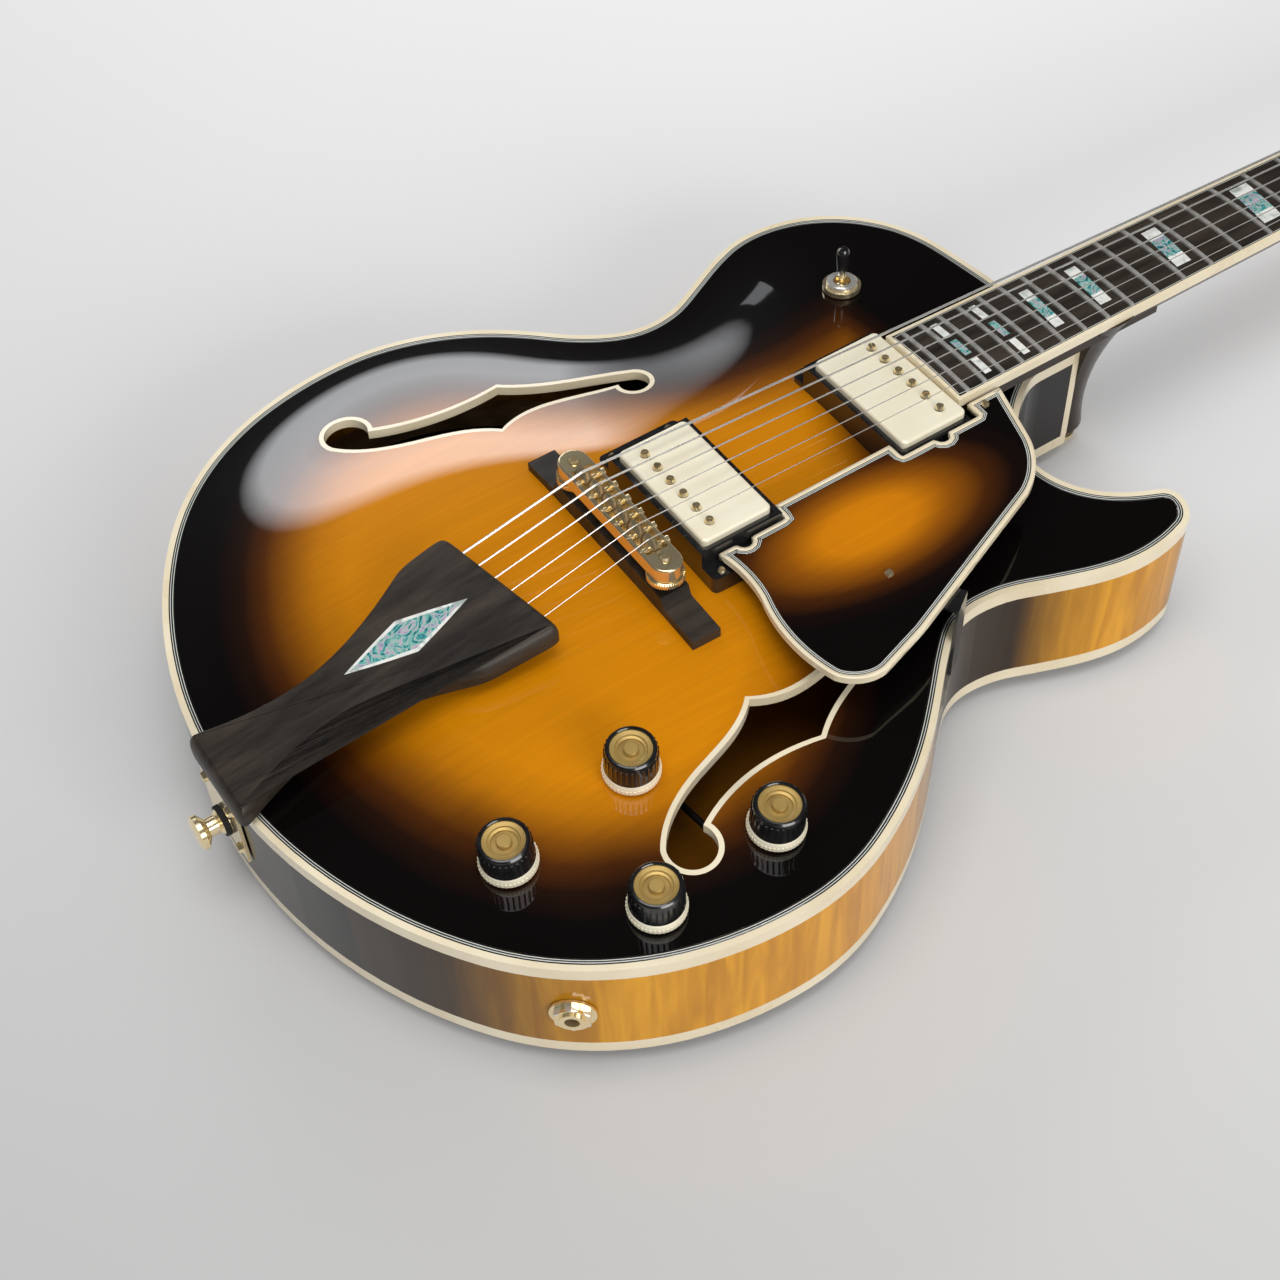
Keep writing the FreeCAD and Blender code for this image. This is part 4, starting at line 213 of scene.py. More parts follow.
# %% Textures
def new_finish(name, roughness, metallic=0.0, coat=0.0, coat_roughness=0.03, sheen=0.5):
    """A material with its shader; constant values sit on the shader's own sockets."""
    material = bpy.data.materials.new(name)
    material.use_nodes = True
    shader = material.node_tree.nodes["Principled BSDF"]
    fill(shader, roughness=roughness, metallic=metallic, coat_weight=coat, coat_roughness=coat_roughness)
    shader.inputs["Specular IOR Level"].default_value = sheen
    return material, shader


def object_place(material, scale=(1, 1, 1), turn=(0, 0, 0)):
    """Object coordinates through a Mapping node."""
    place = add_node(material, "ShaderNodeTexCoord").outputs["Object"]
    mapping = add_node(material, "ShaderNodeMapping", vector=place, scale=scale, rotation=turn)
    return mapping.outputs["Vector"]


def place_along(material, axis, turn=(0, 0, 0)):
    """One of the object coordinates."""
    place = object_place(material, turn=turn)
    return add_node(material, "ShaderNodeSeparateXYZ", vector=place).outputs[axis]


def noise(material, stretch=(1, 1, 1), **settings):
    """Noise over the object coordinates, drawn out along the axes with a small number."""
    place = object_place(material, stretch)
    return add_node(material, "ShaderNodeTexNoise", vector=place, **settings).outputs["Fac"]


def bump_from(shader, height, strength, distance):
    bump = add_node(shader.id_data, "ShaderNodeBump", height=height, strength=strength, distance=distance)
    fill(shader, normal=bump.outputs["Normal"])

# %% [markdown]
# ## Window and walls
# The window's light is not even: it is strongest a little above the middle and fades towards its edges. A
# lamp can have a node tree too. Its parametric coordinates run from 0 to 1 across and up the lamp, and a
# ramp over each of them sets the strength. In the lacquer this becomes the soft border of the long
# highlight. The walls light the guitar evenly, but in a reflection they are dark, so their strength
# depends on the kind of ray.

# %% A fading window
UPWARD_FADE = [(0.0, grey(0.0)), (0.06, grey(0.22)), (0.55, grey(1.0)), (0.80, grey(1.0)), (1.0, grey(0.0))]
SIDEWAYS_FADE = [(0.0, grey(0.0)), (0.08, grey(1.0)), (0.98, grey(1.0)), (1.0, grey(0.0))]
STUDIO_LEVEL, STUDIO_MIRRORED, WALL_GREY = 0.58, 0.03, 0.80

lamp = window.data
lamp.use_nodes = True
on_lamp = add_node(lamp, "ShaderNodeNewGeometry").outputs["Parametric"]
split = add_node(lamp, "ShaderNodeSeparateXYZ", vector=on_lamp).outputs
upward, sideways = ramped(split["Y"], UPWARD_FADE), ramped(split["X"], SIDEWAYS_FADE)
fill(lamp.node_tree.nodes["Emission"], strength=mixed(1.0, upward, sideways, "MULTIPLY"))

world = bpy.data.worlds.new("studio")
scene.world = world
world.use_nodes = True
glossy = add_node(world, "ShaderNodeLightPath").outputs["Is Glossy Ray"]
level = reckoned("MULTIPLY_ADD", glossy, STUDIO_MIRRORED - STUDIO_LEVEL, STUDIO_LEVEL)
fill(world.node_tree.nodes["Background"], color=(*grey(WALL_GREY), 1), strength=level)
print("window graded, walls at", STUDIO_LEVEL)

# %% [markdown]
# ## Floor
# The floor is a wide pale sheet of paper, so there is no horizon in the picture. An even one looks like a
# computer's, so it gets a slow, weak change of tone and a painted fall of light across the view: grey where
# the lamps light the paper less, near white where they light it most.

# %% Paper floor
FLOOR_TURN = math.radians(-46)
FLOOR_NEAR, FLOOR_FAR, FLOOR_HALF = -1.65, 0.6, 9
# The paper's own colour is even; this ramp is painted light and shade across the floor.
FLOOR_PAINTED_LIGHT = [(0.0, grey(0.80)), (0.4, grey(0.44)), (1.0, (0.96, 0.96, 0.97))]

paper, shader = new_finish("backdrop_paper", 0.9)
tone = ramped(noise(paper, scale=1.2, detail=2), [(0.3, grey(0.96)), (0.7, grey(1.0))])
across_view = place_along(paper, "X", (0, 0, FLOOR_TURN))
# Painted light and shade on the floor, from the ramp above.
painted_light_fall = ramped(spanned(across_view, from_min=FLOOR_NEAR, from_max=FLOOR_FAR), FLOOR_PAINTED_LIGHT)
fill(shader, base_color=mixed(1.0, painted_light_fall, tone, "MULTIPLY"))
floor_mesh = bpy.data.meshes.new("floor")
floor_corners = [(x * FLOOR_HALF, y * FLOOR_HALF, 0) for x, y in ((-1, -1), (1, -1), (1, 1), (-1, 1))]
floor_mesh.from_pydata(floor_corners, [], [(0, 1, 2, 3)])
floor_mesh.materials.append(paper)
floor = placed("floor", floor_mesh)
print("floor laid:", 2 * FLOOR_HALF, "m wide")

# %% [markdown]
# ## Plated metal, strings and plastics
# Gold plating on brass is a metal with a warm colour and very low roughness; its only texture is the
# faint haze of polishing. Strings and frets are the same idea in nickel. Black plastic is a dark, glossy
# dielectric. Cream binding is an aged plastic, so its tone drifts a little along its length.

# %% Metals and plastics
BUMP_DEPTH = 0.0004


def hazed(name, colours, roughness, scale, metallic=0.0, coat=0.0, bump=0.0):
    """A finish whose tone and roughness drift between two ends with the same haze."""
    material, shader = new_finish(name, roughness[0], metallic, coat)
    haze = noise(material, scale=scale, detail=4)
    fill(shader, roughness=spanned(haze, to_min=roughness[0], to_max=roughness[1]),
         base_color=ramped(haze, [(0.3, colours[0]), (0.7, colours[1])]))
    if bump:
        bump_from(shader, haze, bump, BUMP_DEPTH)
    return material


gold = hazed("gold_plate", [(0.94, 0.76, 0.44), (0.98, 0.84, 0.55)], (0.14, 0.24), 60, metallic=0.88)
satin_gold = hazed("satin_gold", [(0.97, 0.89, 0.68), (1.0, 0.94, 0.75)], (0.34, 0.42), 40, metallic=0.24)
amber_gold = hazed("amber_gold", [(0.44, 0.29, 0.085), (0.54, 0.37, 0.12)], (0.30, 0.42), 80, metallic=0.5)
nickel = hazed("nickel_wire", [(0.82, 0.80, 0.75), (0.93, 0.91, 0.87)], (0.22, 0.34), 120, metallic=0.75)
black_plastic = hazed("black_plastic", [(0.006, 0.006, 0.007), (0.014, 0.014, 0.015)], (0.16, 0.30), 150,
                      coat=0.6)
rubber = hazed("black_rubber", [(0.008, 0.008, 0.009), (0.02, 0.02, 0.021)], (0.38, 0.60), 400, bump=0.2)
cream = hazed("cream_binding", [(0.74, 0.63, 0.43), (0.84, 0.75, 0.56)], (0.22, 0.36), 30, coat=0.5)
line_black = hazed("black_line", [grey(0.004), grey(0.010)], (0.25, 0.35), 50, coat=0.8)
line_white = hazed("white_line", [(0.66, 0.68, 0.62), (0.77, 0.79, 0.73)], (0.25, 0.35), 50, coat=0.8)
bone = hazed("bone", [(0.72, 0.66, 0.50), (0.82, 0.77, 0.63)], (0.30, 0.50), 80, coat=0.2)
felt = hazed("black_felt", [grey(0.008), grey(0.03)], (0.90, 1.0), 900, bump=0.6)
print("finishes so far:", len(bpy.data.materials))

# %% [markdown]
# Shell is stacked from thin plates, so its colour runs in bent veins. Two veined ramps do for it: a pale
# one and a blue-green one. The fretboard's blocks use both, with the coloured shell in the middle of each
# block.

# %% Shell
PEARL_VEINS = ([(0.30, (0.36, 0.40, 0.38)), (0.45, (0.72, 0.74, 0.70)), (0.58, (0.86, 0.84, 0.80)),
                (0.72, (0.55, 0.66, 0.63))], 70, 2.2)
ABALONE_VEINS = ([(0.28, (0.01, 0.04, 0.05)), (0.42, (0.05, 0.30, 0.32)), (0.50, (0.25, 0.50, 0.42)),
                  (0.58, (0.55, 0.42, 0.50)), (0.68, (0.10, 0.22, 0.40)), (0.80, (0.02, 0.05, 0.06))],
                 130, 3.5)
BLOCK_MIDDLE = 0.0072  # half width of the coloured shell in a block


def veins(material, stops, scale, distortion):
    """The colour of bent veins of shell."""
    return ramped(noise(material, scale=scale, detail=6, distortion=distortion), stops)


pearl, shader = new_finish("pearl_shell", 0.16, coat=1.0)
fill(shader, base_color=veins(pearl, *PEARL_VEINS))
abalone, shader = new_finish("abalone_shell", 0.14, coat=1.0)
fill(shader, base_color=veins(abalone, *ABALONE_VEINS))

block_shell, shader = new_finish("block_shell", 0.15, coat=1.0)
middle = reckoned("LESS_THAN", reckoned("ABSOLUTE", place_along(block_shell, "Y")), BLOCK_MIDDLE)
pale, coloured = veins(block_shell, *PEARL_VEINS), veins(block_shell, *ABALONE_VEINS)
fill(shader, base_color=mixed(middle, pale, coloured))
print("shell finishes: 3")

# %% [markdown]
# ## Woods under lacquer and bare
# Ebony is almost black, with fine streaks along its grain and only a satin shine. Bare spruce and maple
# are inside the body. The ribs are maple, cut so that its fibres ripple: light bands run across the rib.
# Over them lies an amber lacquer, sprayed dark in zones along the body, and again where the rib comes
# near the middle: beside the neck and at the tail.

# %% Woods
EBONY_TONES = [(0.35, (0.013, 0.010, 0.008)), (0.55, (0.038, 0.029, 0.022)), (0.75, (0.066, 0.050, 0.038))]
BARE_TONES = [(0.35, (0.30, 0.19, 0.09)), (0.65, (0.46, 0.31, 0.16))]
MAPLE_TONES = [(0.34, (0.50, 0.205, 0.004)), (0.52, (0.62, 0.27, 0.006)), (0.68, (0.72, 0.33, 0.009))]
SPRAY_DARK = (0.004, 0.0025, 0.002)
# Zones of the spray, as (place, darkness): along x from tail to heel, and along y.
RIB_ZONES = [(-0.520, 1.0), (-0.478, 0.95), (-0.448, 0.35), (-0.425, 0.0), (-0.290, 0.0), (-0.250, 0.35),
             (-0.222, 0.97), (-0.165, 0.97), (-0.140, 0.25), (-0.120, 0.0), (-0.085, 0.05), (-0.060, 0.9),
             (-0.03, 1.0)]
RIB_ENDS = [(-0.2, 0.0), (-0.110, 0.0), (-0.085, 1.0), (0.085, 1.0), (0.110, 0.0), (0.2, 0.0)]
NECK_ZONES = [(-0.15, 0.98), (0.04, 0.97), (0.12, 0.82), (0.26, 0.74), (0.36, 0.88), (0.53, 0.97)]

ebony, shader = new_finish("ebony", 0.42, sheen=0.32)
streaks = noise(ebony, (0.12, 1, 1), scale=90, detail=6, roughness=0.7)
fill(shader, base_color=ramped(streaks, EBONY_TONES))
bump_from(shader, streaks, 0.25, 0.0002)

bare_wood, shader = new_finish("bare_wood", 0.7)
streaks = noise(bare_wood, (0.06, 1, 1), scale=160, detail=4)
fill(shader, base_color=ramped(streaks, BARE_TONES))


def sprayed(material, axis, zones):
    """How dark the spray is along an axis, from (place, darkness) zones."""
    low, high = zones[0][0], zones[-1][0]
    along = spanned(place_along(material, axis), from_min=low, from_max=high)
    return ramped(along, [((place - low) / (high - low), grey(dark)) for place, dark in zones])


def lacquered_maple(name, zones, ends=()):
    """Rippled maple under an amber lacquer that is sprayed darker in some zones along x, and along y."""
    material, shader = new_finish(name, 0.3, coat=0.6, coat_roughness=0.02, sheen=0.05)
    ripple = noise(material, (150, 150, 14), scale=1.0, detail=3, distortion=0.6)
    darkness = sprayed(material, "X", zones)
    if ends:
        darkness = mixed(1.0, darkness, sprayed(material, "Y", ends), "LIGHTEN")
    fill(shader, base_color=mixed(darkness, ramped(ripple, MAPLE_TONES), SPRAY_DARK))
    return material


rib_maple = lacquered_maple("rib_maple", RIB_ZONES, RIB_ENDS)
neck_maple = lacquered_maple("neck_maple", NECK_ZONES)
print("woods ready: 4")

# %% [markdown]
# ## The arched top and its sunburst
# The top is a carved plate: almost flat at its edge, with a dome in the middle. Its colour is sprayed in
# rings that follow the outline, from amber in the middle to black at the edge. A picture could be painted
# for it, but a number on every vertex is simpler: the distance to the edge. So the solid from the frame
# is copied, welded, cut into small triangles, and given that number; the colour is then a ramp.

# %% Welded copies
WELD, SLIVER, FLAT_ANGLE = 2e-6, 1e-7, 0.02


def welded(node):
    """A copy of a solid from the frame with its loose triangles joined."""
    work = bmesh.new()
    work.from_mesh(NODES[node].data)
    bmesh.ops.remove_doubles(work, verts=work.verts, dist=WELD)
    bmesh.ops.dissolve_degenerate(work, dist=SLIVER, edges=work.edges)
    return work


def refined(work, longest):
    """Cut edges in half until none is longer than a length."""
    for _ in range(8):
        long_edges = [edge for edge in work.edges if edge.calc_length() > longest]
        if not long_edges:
            break
        bmesh.ops.subdivide_edges(work, edges=long_edges, cuts=1)
        bmesh.ops.triangulate(work, faces=[face for face in work.faces if len(face.verts) > 3])
    flat = [edge for edge in work.edges if edge.calc_face_angle(0) < FLAT_ANGLE]
    bmesh.ops.beautify_fill(work, faces=work.faces, edges=flat)
    return work


def piece_from(work, name, material, sharp=35):
    """A scene object from a bmesh, smooth apart from edges sharper than an angle."""
    mesh = bpy.data.meshes.new(name)
    work.to_mesh(mesh)
    work.free()
    for polygon in mesh.polygons:
        polygon.use_smooth = True
    mesh.set_sharp_from_angle(angle=math.radians(sharp))
    mesh.materials.append(material)
    return placed(name, mesh)


def fasten(piece, body):
    """The piece rides on a body."""
    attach(piece, body)


def stands_for(piece, node):
    """The piece rides on the guitar and is seen in place of a solid."""
    fasten(piece, "guitar")
    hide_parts(node)
    print(piece.name, "faces:", len(piece.data.polygons))

# %% [markdown]
# The outline is read from the solid itself: the faces that look up are taken together, and the edges with
# such a face on one side only form closed loops. The longest loop of the binding is the body's outline.

# %% Loops
def upper_loops(node, steepest=0.7):
    """Loops of points round the upward faces of a solid, the longest first."""
    work = welded(node)
    upward = {face for face in work.faces if face.normal.z > steepest}
    border = [edge for edge in work.edges if sum(face in upward for face in edge.link_faces) == 1]
    onward = {}
    for edge in border:
        for near, far in (edge.verts, reversed(edge.verts)):
            onward.setdefault(near.index, []).append(far.index)
    places = {vertex.index: vertex.co.copy() for vertex in work.verts}
    loops = []
    while onward:
        start = next(iter(onward))
        loop = [start]
        while onward.get(loop[-1]):
            following = onward[loop[-1]].pop()
            onward[following].remove(loop[-1])
            loop.append(following)
            if following == start:
                break
        onward = {key: ends for key, ends in onward.items() if ends}
        if len(loop) > 3 and loop[0] == loop[-1]:
            loops.append([places[index] for index in loop[:-1]])
    work.free()
    return sorted(loops, key=lambda loop: -sum((a - b).length for a, b in zip(loop, loop[1:])))


def spaced(loop, step):
    """A closed loop of points again, at even steps."""
    closed = np.array([tuple(point) for point in loop + loop[:1]])
    lengths = np.linalg.norm(np.diff(closed, axis=0), axis=1)
    along = np.concatenate([[0], np.cumsum(lengths)])
    wanted = np.linspace(0, along[-1], max(8, int(along[-1] / step)), endpoint=False)
    return np.stack([np.interp(wanted, along, closed[:, axis]) for axis in range(3)], axis=1)


OUTLINE_STEP = 0.004
BODY_EDGE = spaced(upper_loops("body_binding")[0], OUTLINE_STEP)[:, :2]
BODY_STEPS = np.roll(BODY_EDGE, -1, axis=0) - BODY_EDGE
print("outline length:", round(float(np.linalg.norm(BODY_STEPS, axis=1).sum()), 3), "m")

# %% [markdown]
# For the colour, each vertex needs its distance to that outline. It is measured in the plan, to the
# nearest of the outline's short straight pieces, and kept on the mesh under a name that the material can
# read.

# %% Distance to the edge
def edge_distance(points):
    """Distance in the plan from each point to the body's outline."""
    lengths = (BODY_STEPS ** 2).sum(1)
    found = []
    for point in points[:, :2]:
        share = np.clip(((point - BODY_EDGE) * BODY_STEPS).sum(1) / lengths, 0, 1)
        found.append(np.linalg.norm(BODY_EDGE + BODY_STEPS * share[:, None] - point, axis=1).min())
    return np.array(found)


def mark(mesh, name, numbers, kind="FLOAT"):
    """Numbers or vectors on the points of a mesh."""
    layer = mesh.attributes.new(name, kind, "POINT")
    part = "vector" if kind == "FLOAT_VECTOR" else "value"
    layer.data.foreach_set(part, np.ascontiguousarray(numbers, dtype=np.float32).ravel())


def corners(piece):
    found = np.empty(len(piece.data.vertices) * 3, dtype=np.float32)
    piece.data.vertices.foreach_get("co", found)
    return found.reshape(-1, 3)

# %% [markdown]
# The lacquer is one shader with a clear coat over it. Under the coat lie the sprayed colour and a very
# weak grain, because a thick sunburst hides most of the wood. A slow cloud makes the rings a little
# uneven, as a hand that holds a spray gun does.

# %% Sunburst material
BURST_SPAN = 0.120  # distance from the edge at which the ramp ends
BURST_STOPS = [(0.0, (0.003, 0.002, 0.002)), (0.024, (0.003, 0.002, 0.002)), (0.037, (0.016, 0.005, 0.002)),
               (0.048, (0.075, 0.020, 0.002)), (0.059, (0.23, 0.072, 0.002)), (0.073, (0.48, 0.165, 0.002)),
               (0.088, (0.62, 0.220, 0.002))]
CLOUD_DRIFT = 0.10


def sunburst(name, stops, span):
    """Lacquered wood whose colour is a ramp over the number named reach."""
    material, shader = new_finish(name, 0.32, coat=1.0, coat_roughness=0.025, sheen=0.03)
    reach = add_node(material, "ShaderNodeAttribute", attribute_name="reach").outputs["Fac"]
    cloud = noise(material, scale=9, detail=3)
    drift = reckoned("MULTIPLY_ADD", cloud, CLOUD_DRIFT, -CLOUD_DRIFT / 2)
    share = reckoned("MULTIPLY_ADD", reach, 1 / span, drift)
    spray = ramped(share, [(place / span, colour) for place, colour in stops])
    fibres = noise(material, (0.03, 1, 1), scale=420, detail=3)
    grain = ramped(fibres, [(0.3, grey(0.90)), (0.7, grey(1.0))])
    fill(shader, base_color=mixed(1.0, spray, grain, "MULTIPLY"))
    return material


top_lacquer = sunburst("top_lacquer", BURST_STOPS, BURST_SPAN)
print("burst stops:", len(BURST_STOPS))

# %% [markdown]
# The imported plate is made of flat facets, and a glossy lacquer would show each of them. The arch follows
# a rule: it rises smoothly with a mean distance to the whole outline. So the points of the fine copy are
# set on that rule (none moves by more than a third of a millimetre), and the corners of its faces get the
# rule's own normals.

# %% The rule of the arch
ARCH_START, ARCH_END, ARCH_RISE = 0.009, 0.126, 0.012
LEVEL_FACE = 0.9  # a face of the top looks up at least this much


def arch_height(points):
    """Height of the arch at each point, from its mean distance to the outline."""
    lengths, middles = np.linalg.norm(BODY_STEPS, axis=1), BODY_EDGE + BODY_STEPS / 2
    heights = []
    for point in points[:, :2]:
        away = np.maximum(((middles - point) ** 2).sum(1), 1e-9)
        reach = (math.pi / (2 * (lengths / away ** 2).sum())) ** (1 / 3)
        share = min(1.0, max(0.0, (reach - ARCH_START) / (ARCH_END - ARCH_START)))
        heights.append(RIM_TOP + ARCH_RISE * share * share * (3 - 2 * share))
    return np.array(heights)


def arch_normals(points, step=0.001):
    """The way the arch looks at each point, from its height a step to either side."""
    along = arch_height(points + (step, 0, 0)) - arch_height(points - (step, 0, 0))
    across = arch_height(points + (0, step, 0)) - arch_height(points - (0, step, 0))
    normals = np.stack([-along, -across, np.full(len(points), 2 * step)], axis=1)
    return normals / np.linalg.norm(normals, axis=1)[:, None]


def shade_as_arch(mesh, places, upper):
    """Give the corners of the upper faces the arch's own normals."""
    shading = np.empty(len(mesh.loops) * 3, dtype=np.float32)
    mesh.corner_normals.foreach_get("vector", shading)
    shading = shading.reshape(-1, 3)
    normals = np.zeros_like(places)
    normals[upper] = arch_normals(places[upper])
    for polygon in mesh.polygons:
        if polygon.normal.z > LEVEL_FACE and all(upper[index] for index in polygon.vertices):
            first = polygon.loop_start
            shading[first:first + polygon.loop_total] = normals[list(polygon.vertices)]
    mesh.normals_split_custom_set(shading.tolist())

# %% [markdown]
# Now the top itself. Its spray reaches further in at the neck end, so the distance is shortened there
# before the ramp reads it.

# %% The arched plate
TOP_GRID, UPPER_REACH = 0.007, 0.0005
PULL_START, PULL = SADDLE_LINE + 0.060, 0.30

top_wood = piece_from(refined(welded("top_plate"), TOP_GRID), "top_wood", top_lacquer)
places = corners(top_wood)
heights = arch_height(places)
upper = np.abs(heights - places[:, 2]) < UPPER_REACH
farthest = 1000 * float(np.abs(heights - places[:, 2])[upper].max())
print("upper points:", int(upper.sum()), "moved by at most", round(farthest, 3), "mm")
places[upper, 2] = heights[upper]
top_wood.data.vertices.foreach_set("co", places.ravel())
top_wood.data.update()
shade_as_arch(top_wood.data, places, upper)
mark(top_wood.data, "reach", edge_distance(places) - PULL * np.maximum(0, places[:, 0] - PULL_START))
stands_for(top_wood, "top_plate")

# %% [markdown]
# The back is sprayed in the same way, only browner, because its maple is darker than the top's spruce. It
# lies on the floor here, but the part may be seen from below in another scene.

# %% The back
BACK_GRID = 0.012
BACK_STOPS = [(0.000, (0.003, 0.002, 0.002)), (0.020, (0.004, 0.002, 0.002)), (0.038, (0.055, 0.016, 0.003)),
              (0.062, (0.27, 0.085, 0.008)), (0.095, (0.48, 0.185, 0.014))]
back_lacquer = sunburst("back_lacquer", BACK_STOPS, BURST_SPAN)
back_wood = piece_from(refined(welded("back_plate"), BACK_GRID), "back_wood", back_lacquer)
mark(back_wood.data, "reach", edge_distance(corners(back_wood)))
stands_for(back_wood, "back_plate")

# %% [markdown]
# ## Growing repeated shapes with Geometry Nodes
# Lines along an edge, ribs round a knob, wire along a path and rows of screws all repeat one small shape.
# Each gets a node tree with named inputs. A helper runs a tree on a seed mesh and keeps only the plain
# mesh that comes out, because the finished model can't hold instances.

# %% Node trees
def first_output(tree, kind, **settings):
    return add_node(tree, kind, **settings).outputs[0]


def new_tree(name, **inputs):
    """A tree with a seed, named inputs and a finish; also what adds a node to it, and its inputs."""
    tree = bpy.data.node_groups.new(name, "GeometryNodeTree")
    for label, kind in {"Seed": "Geometry", **inputs, "Finish": "Material"}.items():
        tree.interface.new_socket(label, in_out="INPUT", socket_type="NodeSocket" + kind)
    tree.interface.new_socket("Result", in_out="OUTPUT", socket_type="NodeSocketGeometry")
    return tree, partial(first_output, tree), tree.nodes.new("NodeGroupInput").outputs


def end_tree(tree, geometry, finish):
    """Every tree ends by making its instances real and setting their finish."""
    real = first_output(tree, "GeometryNodeRealizeInstances", geometry=geometry)
    done = first_output(tree, "GeometryNodeSetMaterial", geometry=real, material=finish)
    tree.links.new(done, tree.nodes.new("NodeGroupOutput").inputs[0])


def grown(tree, name, seed, **inputs):
    """Run a tree on a seed mesh and keep the plain mesh; inputs are named as on the tree."""
    grower = placed(name + "_grower", seed)
    modifier = grower.modifiers.new("grow", "NODES")
    modifier.node_group = tree
    sockets = {item.name: item.identifier for item in tree.interface.items_tree if item.in_out == "INPUT"}
    for label, amount in inputs.items():
        modifier[sockets[label.capitalize()]] = amount
    bpy.context.view_layer.update()
    graph = bpy.context.evaluated_depsgraph_get()
    mesh = bpy.data.meshes.new_from_object(grower.evaluated_get(graph))
    mesh.name = name
    bpy.data.objects.remove(grower)
    bpy.data.meshes.remove(seed)
    return placed(name, mesh)


def in_metres(**sizes):
    """Named sizes in millimetres, as a tree takes them."""
    return {name: size / 1000 for name, size in sizes.items()}


def path_mesh(paths, closed):
    """A mesh of edges only, one run of edges for each path."""
    points, edges = [], []
    for path in paths:
        first = len(points)
        points += [tuple(point) for point in path]
        edges += [(index, index + 1) for index in range(first, len(points) - 1)]
        if closed:
            edges.append((len(points) - 1, first))
    mesh = bpy.data.meshes.new("paths")
    mesh.from_pydata(points, edges, [])
    return mesh

# %% [markdown]
# ## Edge lines
# Round the top runs the purfling: thin black and white lines beside the cream binding. On the real guitar
# they are strips of plastic glued in a channel. Here each line is a flat profile swept along a loop that
# is read from the solid itself, so it follows the edge exactly.

# %% A strip along an edge
strip_tree, put, sockets = new_tree("edge_strip", Inset="Float", Width="Float", Rise="Float")
curve = put("GeometryNodeMeshToCurve", mesh=sockets["Seed"])
level = put("GeometryNodeSetCurveNormal", curve=curve, mode="Z_UP")
profile = put("GeometryNodeCurvePrimitiveQuadrilateral", width=sockets["Width"], height=sockets["Rise"])
inward = reckoned("MULTIPLY_ADD", sockets["Width"], 0.5, sockets["Inset"])
left, lifted = reckoned("MULTIPLY", inward, -1.0), reckoned("MULTIPLY", sockets["Rise"], -0.5)
shift = put("ShaderNodeCombineXYZ", x=left, y=lifted)
moved = put("GeometryNodeTransform", geometry=profile, translation=shift)
strip = put("GeometryNodeCurveToMesh", curve=level, profile_curve=moved)
end_tree(strip_tree, strip, sockets["Finish"])


def facing_in(loop):
    """The loop's points in the turning sense that puts the strip on the wood's side."""
    flat = [(point[0], point[1]) for point in loop]
    area = sum(a[0] * b[1] - b[0] * a[1] for a, b in zip(flat, flat[1:] + flat[:1]))
    return list(loop) if area > 0 else list(loop)[::-1]


def edge_lines(name, loop, lines, step=0.004):
    """Lines beside a loop: (inset, width, rise, finish) in millimetres."""
    path = facing_in([Vector(point) for point in spaced(loop, step)])
    for number, (inset, width, rise, finish) in enumerate(lines, 1):
        piece = grown(strip_tree, "%s_%d" % (name, number), path_mesh([path], True), finish=finish,
                      **in_metres(inset=inset, width=width, rise=rise))
        fasten(piece, "guitar")
    print(name, "lines:", len(lines), "on", len(path), "points")


PURFLING = [(0.0, 2.9, 0.10, line_black), (0.6, 0.35, 0.14, line_white), (1.7, 0.35, 0.14, line_white)]
FRETBOARD_LINE = [(0.5, 0.4, 0.06, line_white)]
HEADSTOCK_EDGE = [(0.0, 1.8, 0.10, cream), (2.2, 0.35, 0.10, line_white)]
edge_lines("top_purfling", upper_loops("top_plate")[0], PURFLING)
edge_lines("fretboard_line", upper_loops("fretboard")[0], FRETBOARD_LINE, step=0.01)
edge_lines("headstock_edge", upper_loops("headstock_veneer")[0], HEADSTOCK_EDGE, step=0.002)

# %% [markdown]
# Where the cutaway meets the neck, the binding turns down the rib and closes it with a short upright
# strip. It is one straight stick of the same plastic, so a cube stretched to its size is enough.

# %% Strip at the heel
STRIP_LOW, STRIP_HIGH = Vector((-0.0404, -0.0147, 0.0170)), Vector((-0.0364, -0.0143, 0.0680))
work = bmesh.new()
bmesh.ops.create_cube(work, size=1.0)
bmesh.ops.scale(work, vec=STRIP_HIGH - STRIP_LOW, verts=work.verts)
bmesh.ops.translate(work, vec=(STRIP_HIGH + STRIP_LOW) / 2, verts=work.verts)
fasten(piece_from(work, "heel_strip", cream), "guitar")
print("heel strip:", round(1000 * (STRIP_HIGH - STRIP_LOW).x, 1), "mm wide")

# %% [markdown]
# ## Pickguard
# The guard is a thin maple plate with its own small sunburst, floating beside the strings. It has the
# same edge as the body: cream, then black and white lines. Its burst is not a distance to the edge but an
# oval glow, so the number on each vertex is the distance from that oval's middle.

# %% Pickguard
GUARD_GRID, GUARD_SPAN = 0.006, 1.3
GUARD_MIDDLE, GUARD_GLOW = (SADDLE_LINE + 0.092, -0.064), (0.074, 0.038)
GUARD_STOPS = [(0.0, (0.63, 0.21, 0.002)), (0.35, (0.58, 0.19, 0.002)), (0.60, (0.27, 0.080, 0.002)),
               (0.85, (0.06, 0.016, 0.002)), (1.05, (0.008, 0.003, 0.002)), (1.25, (0.003, 0.002, 0.002))]
GUARD_EDGE = [(-0.03, 2.2, 0.05, cream), (2.2, 2.0, 0.04, line_black), (2.7, 0.35, 0.07, line_white),
              (3.5, 0.35, 0.07, line_white)]
guard_lacquer = sunburst("guard_lacquer", GUARD_STOPS, GUARD_SPAN)
guard = piece_from(refined(welded("pickguard"), GUARD_GRID), "guard_plate", guard_lacquer)
guard.data.materials.append(cream)
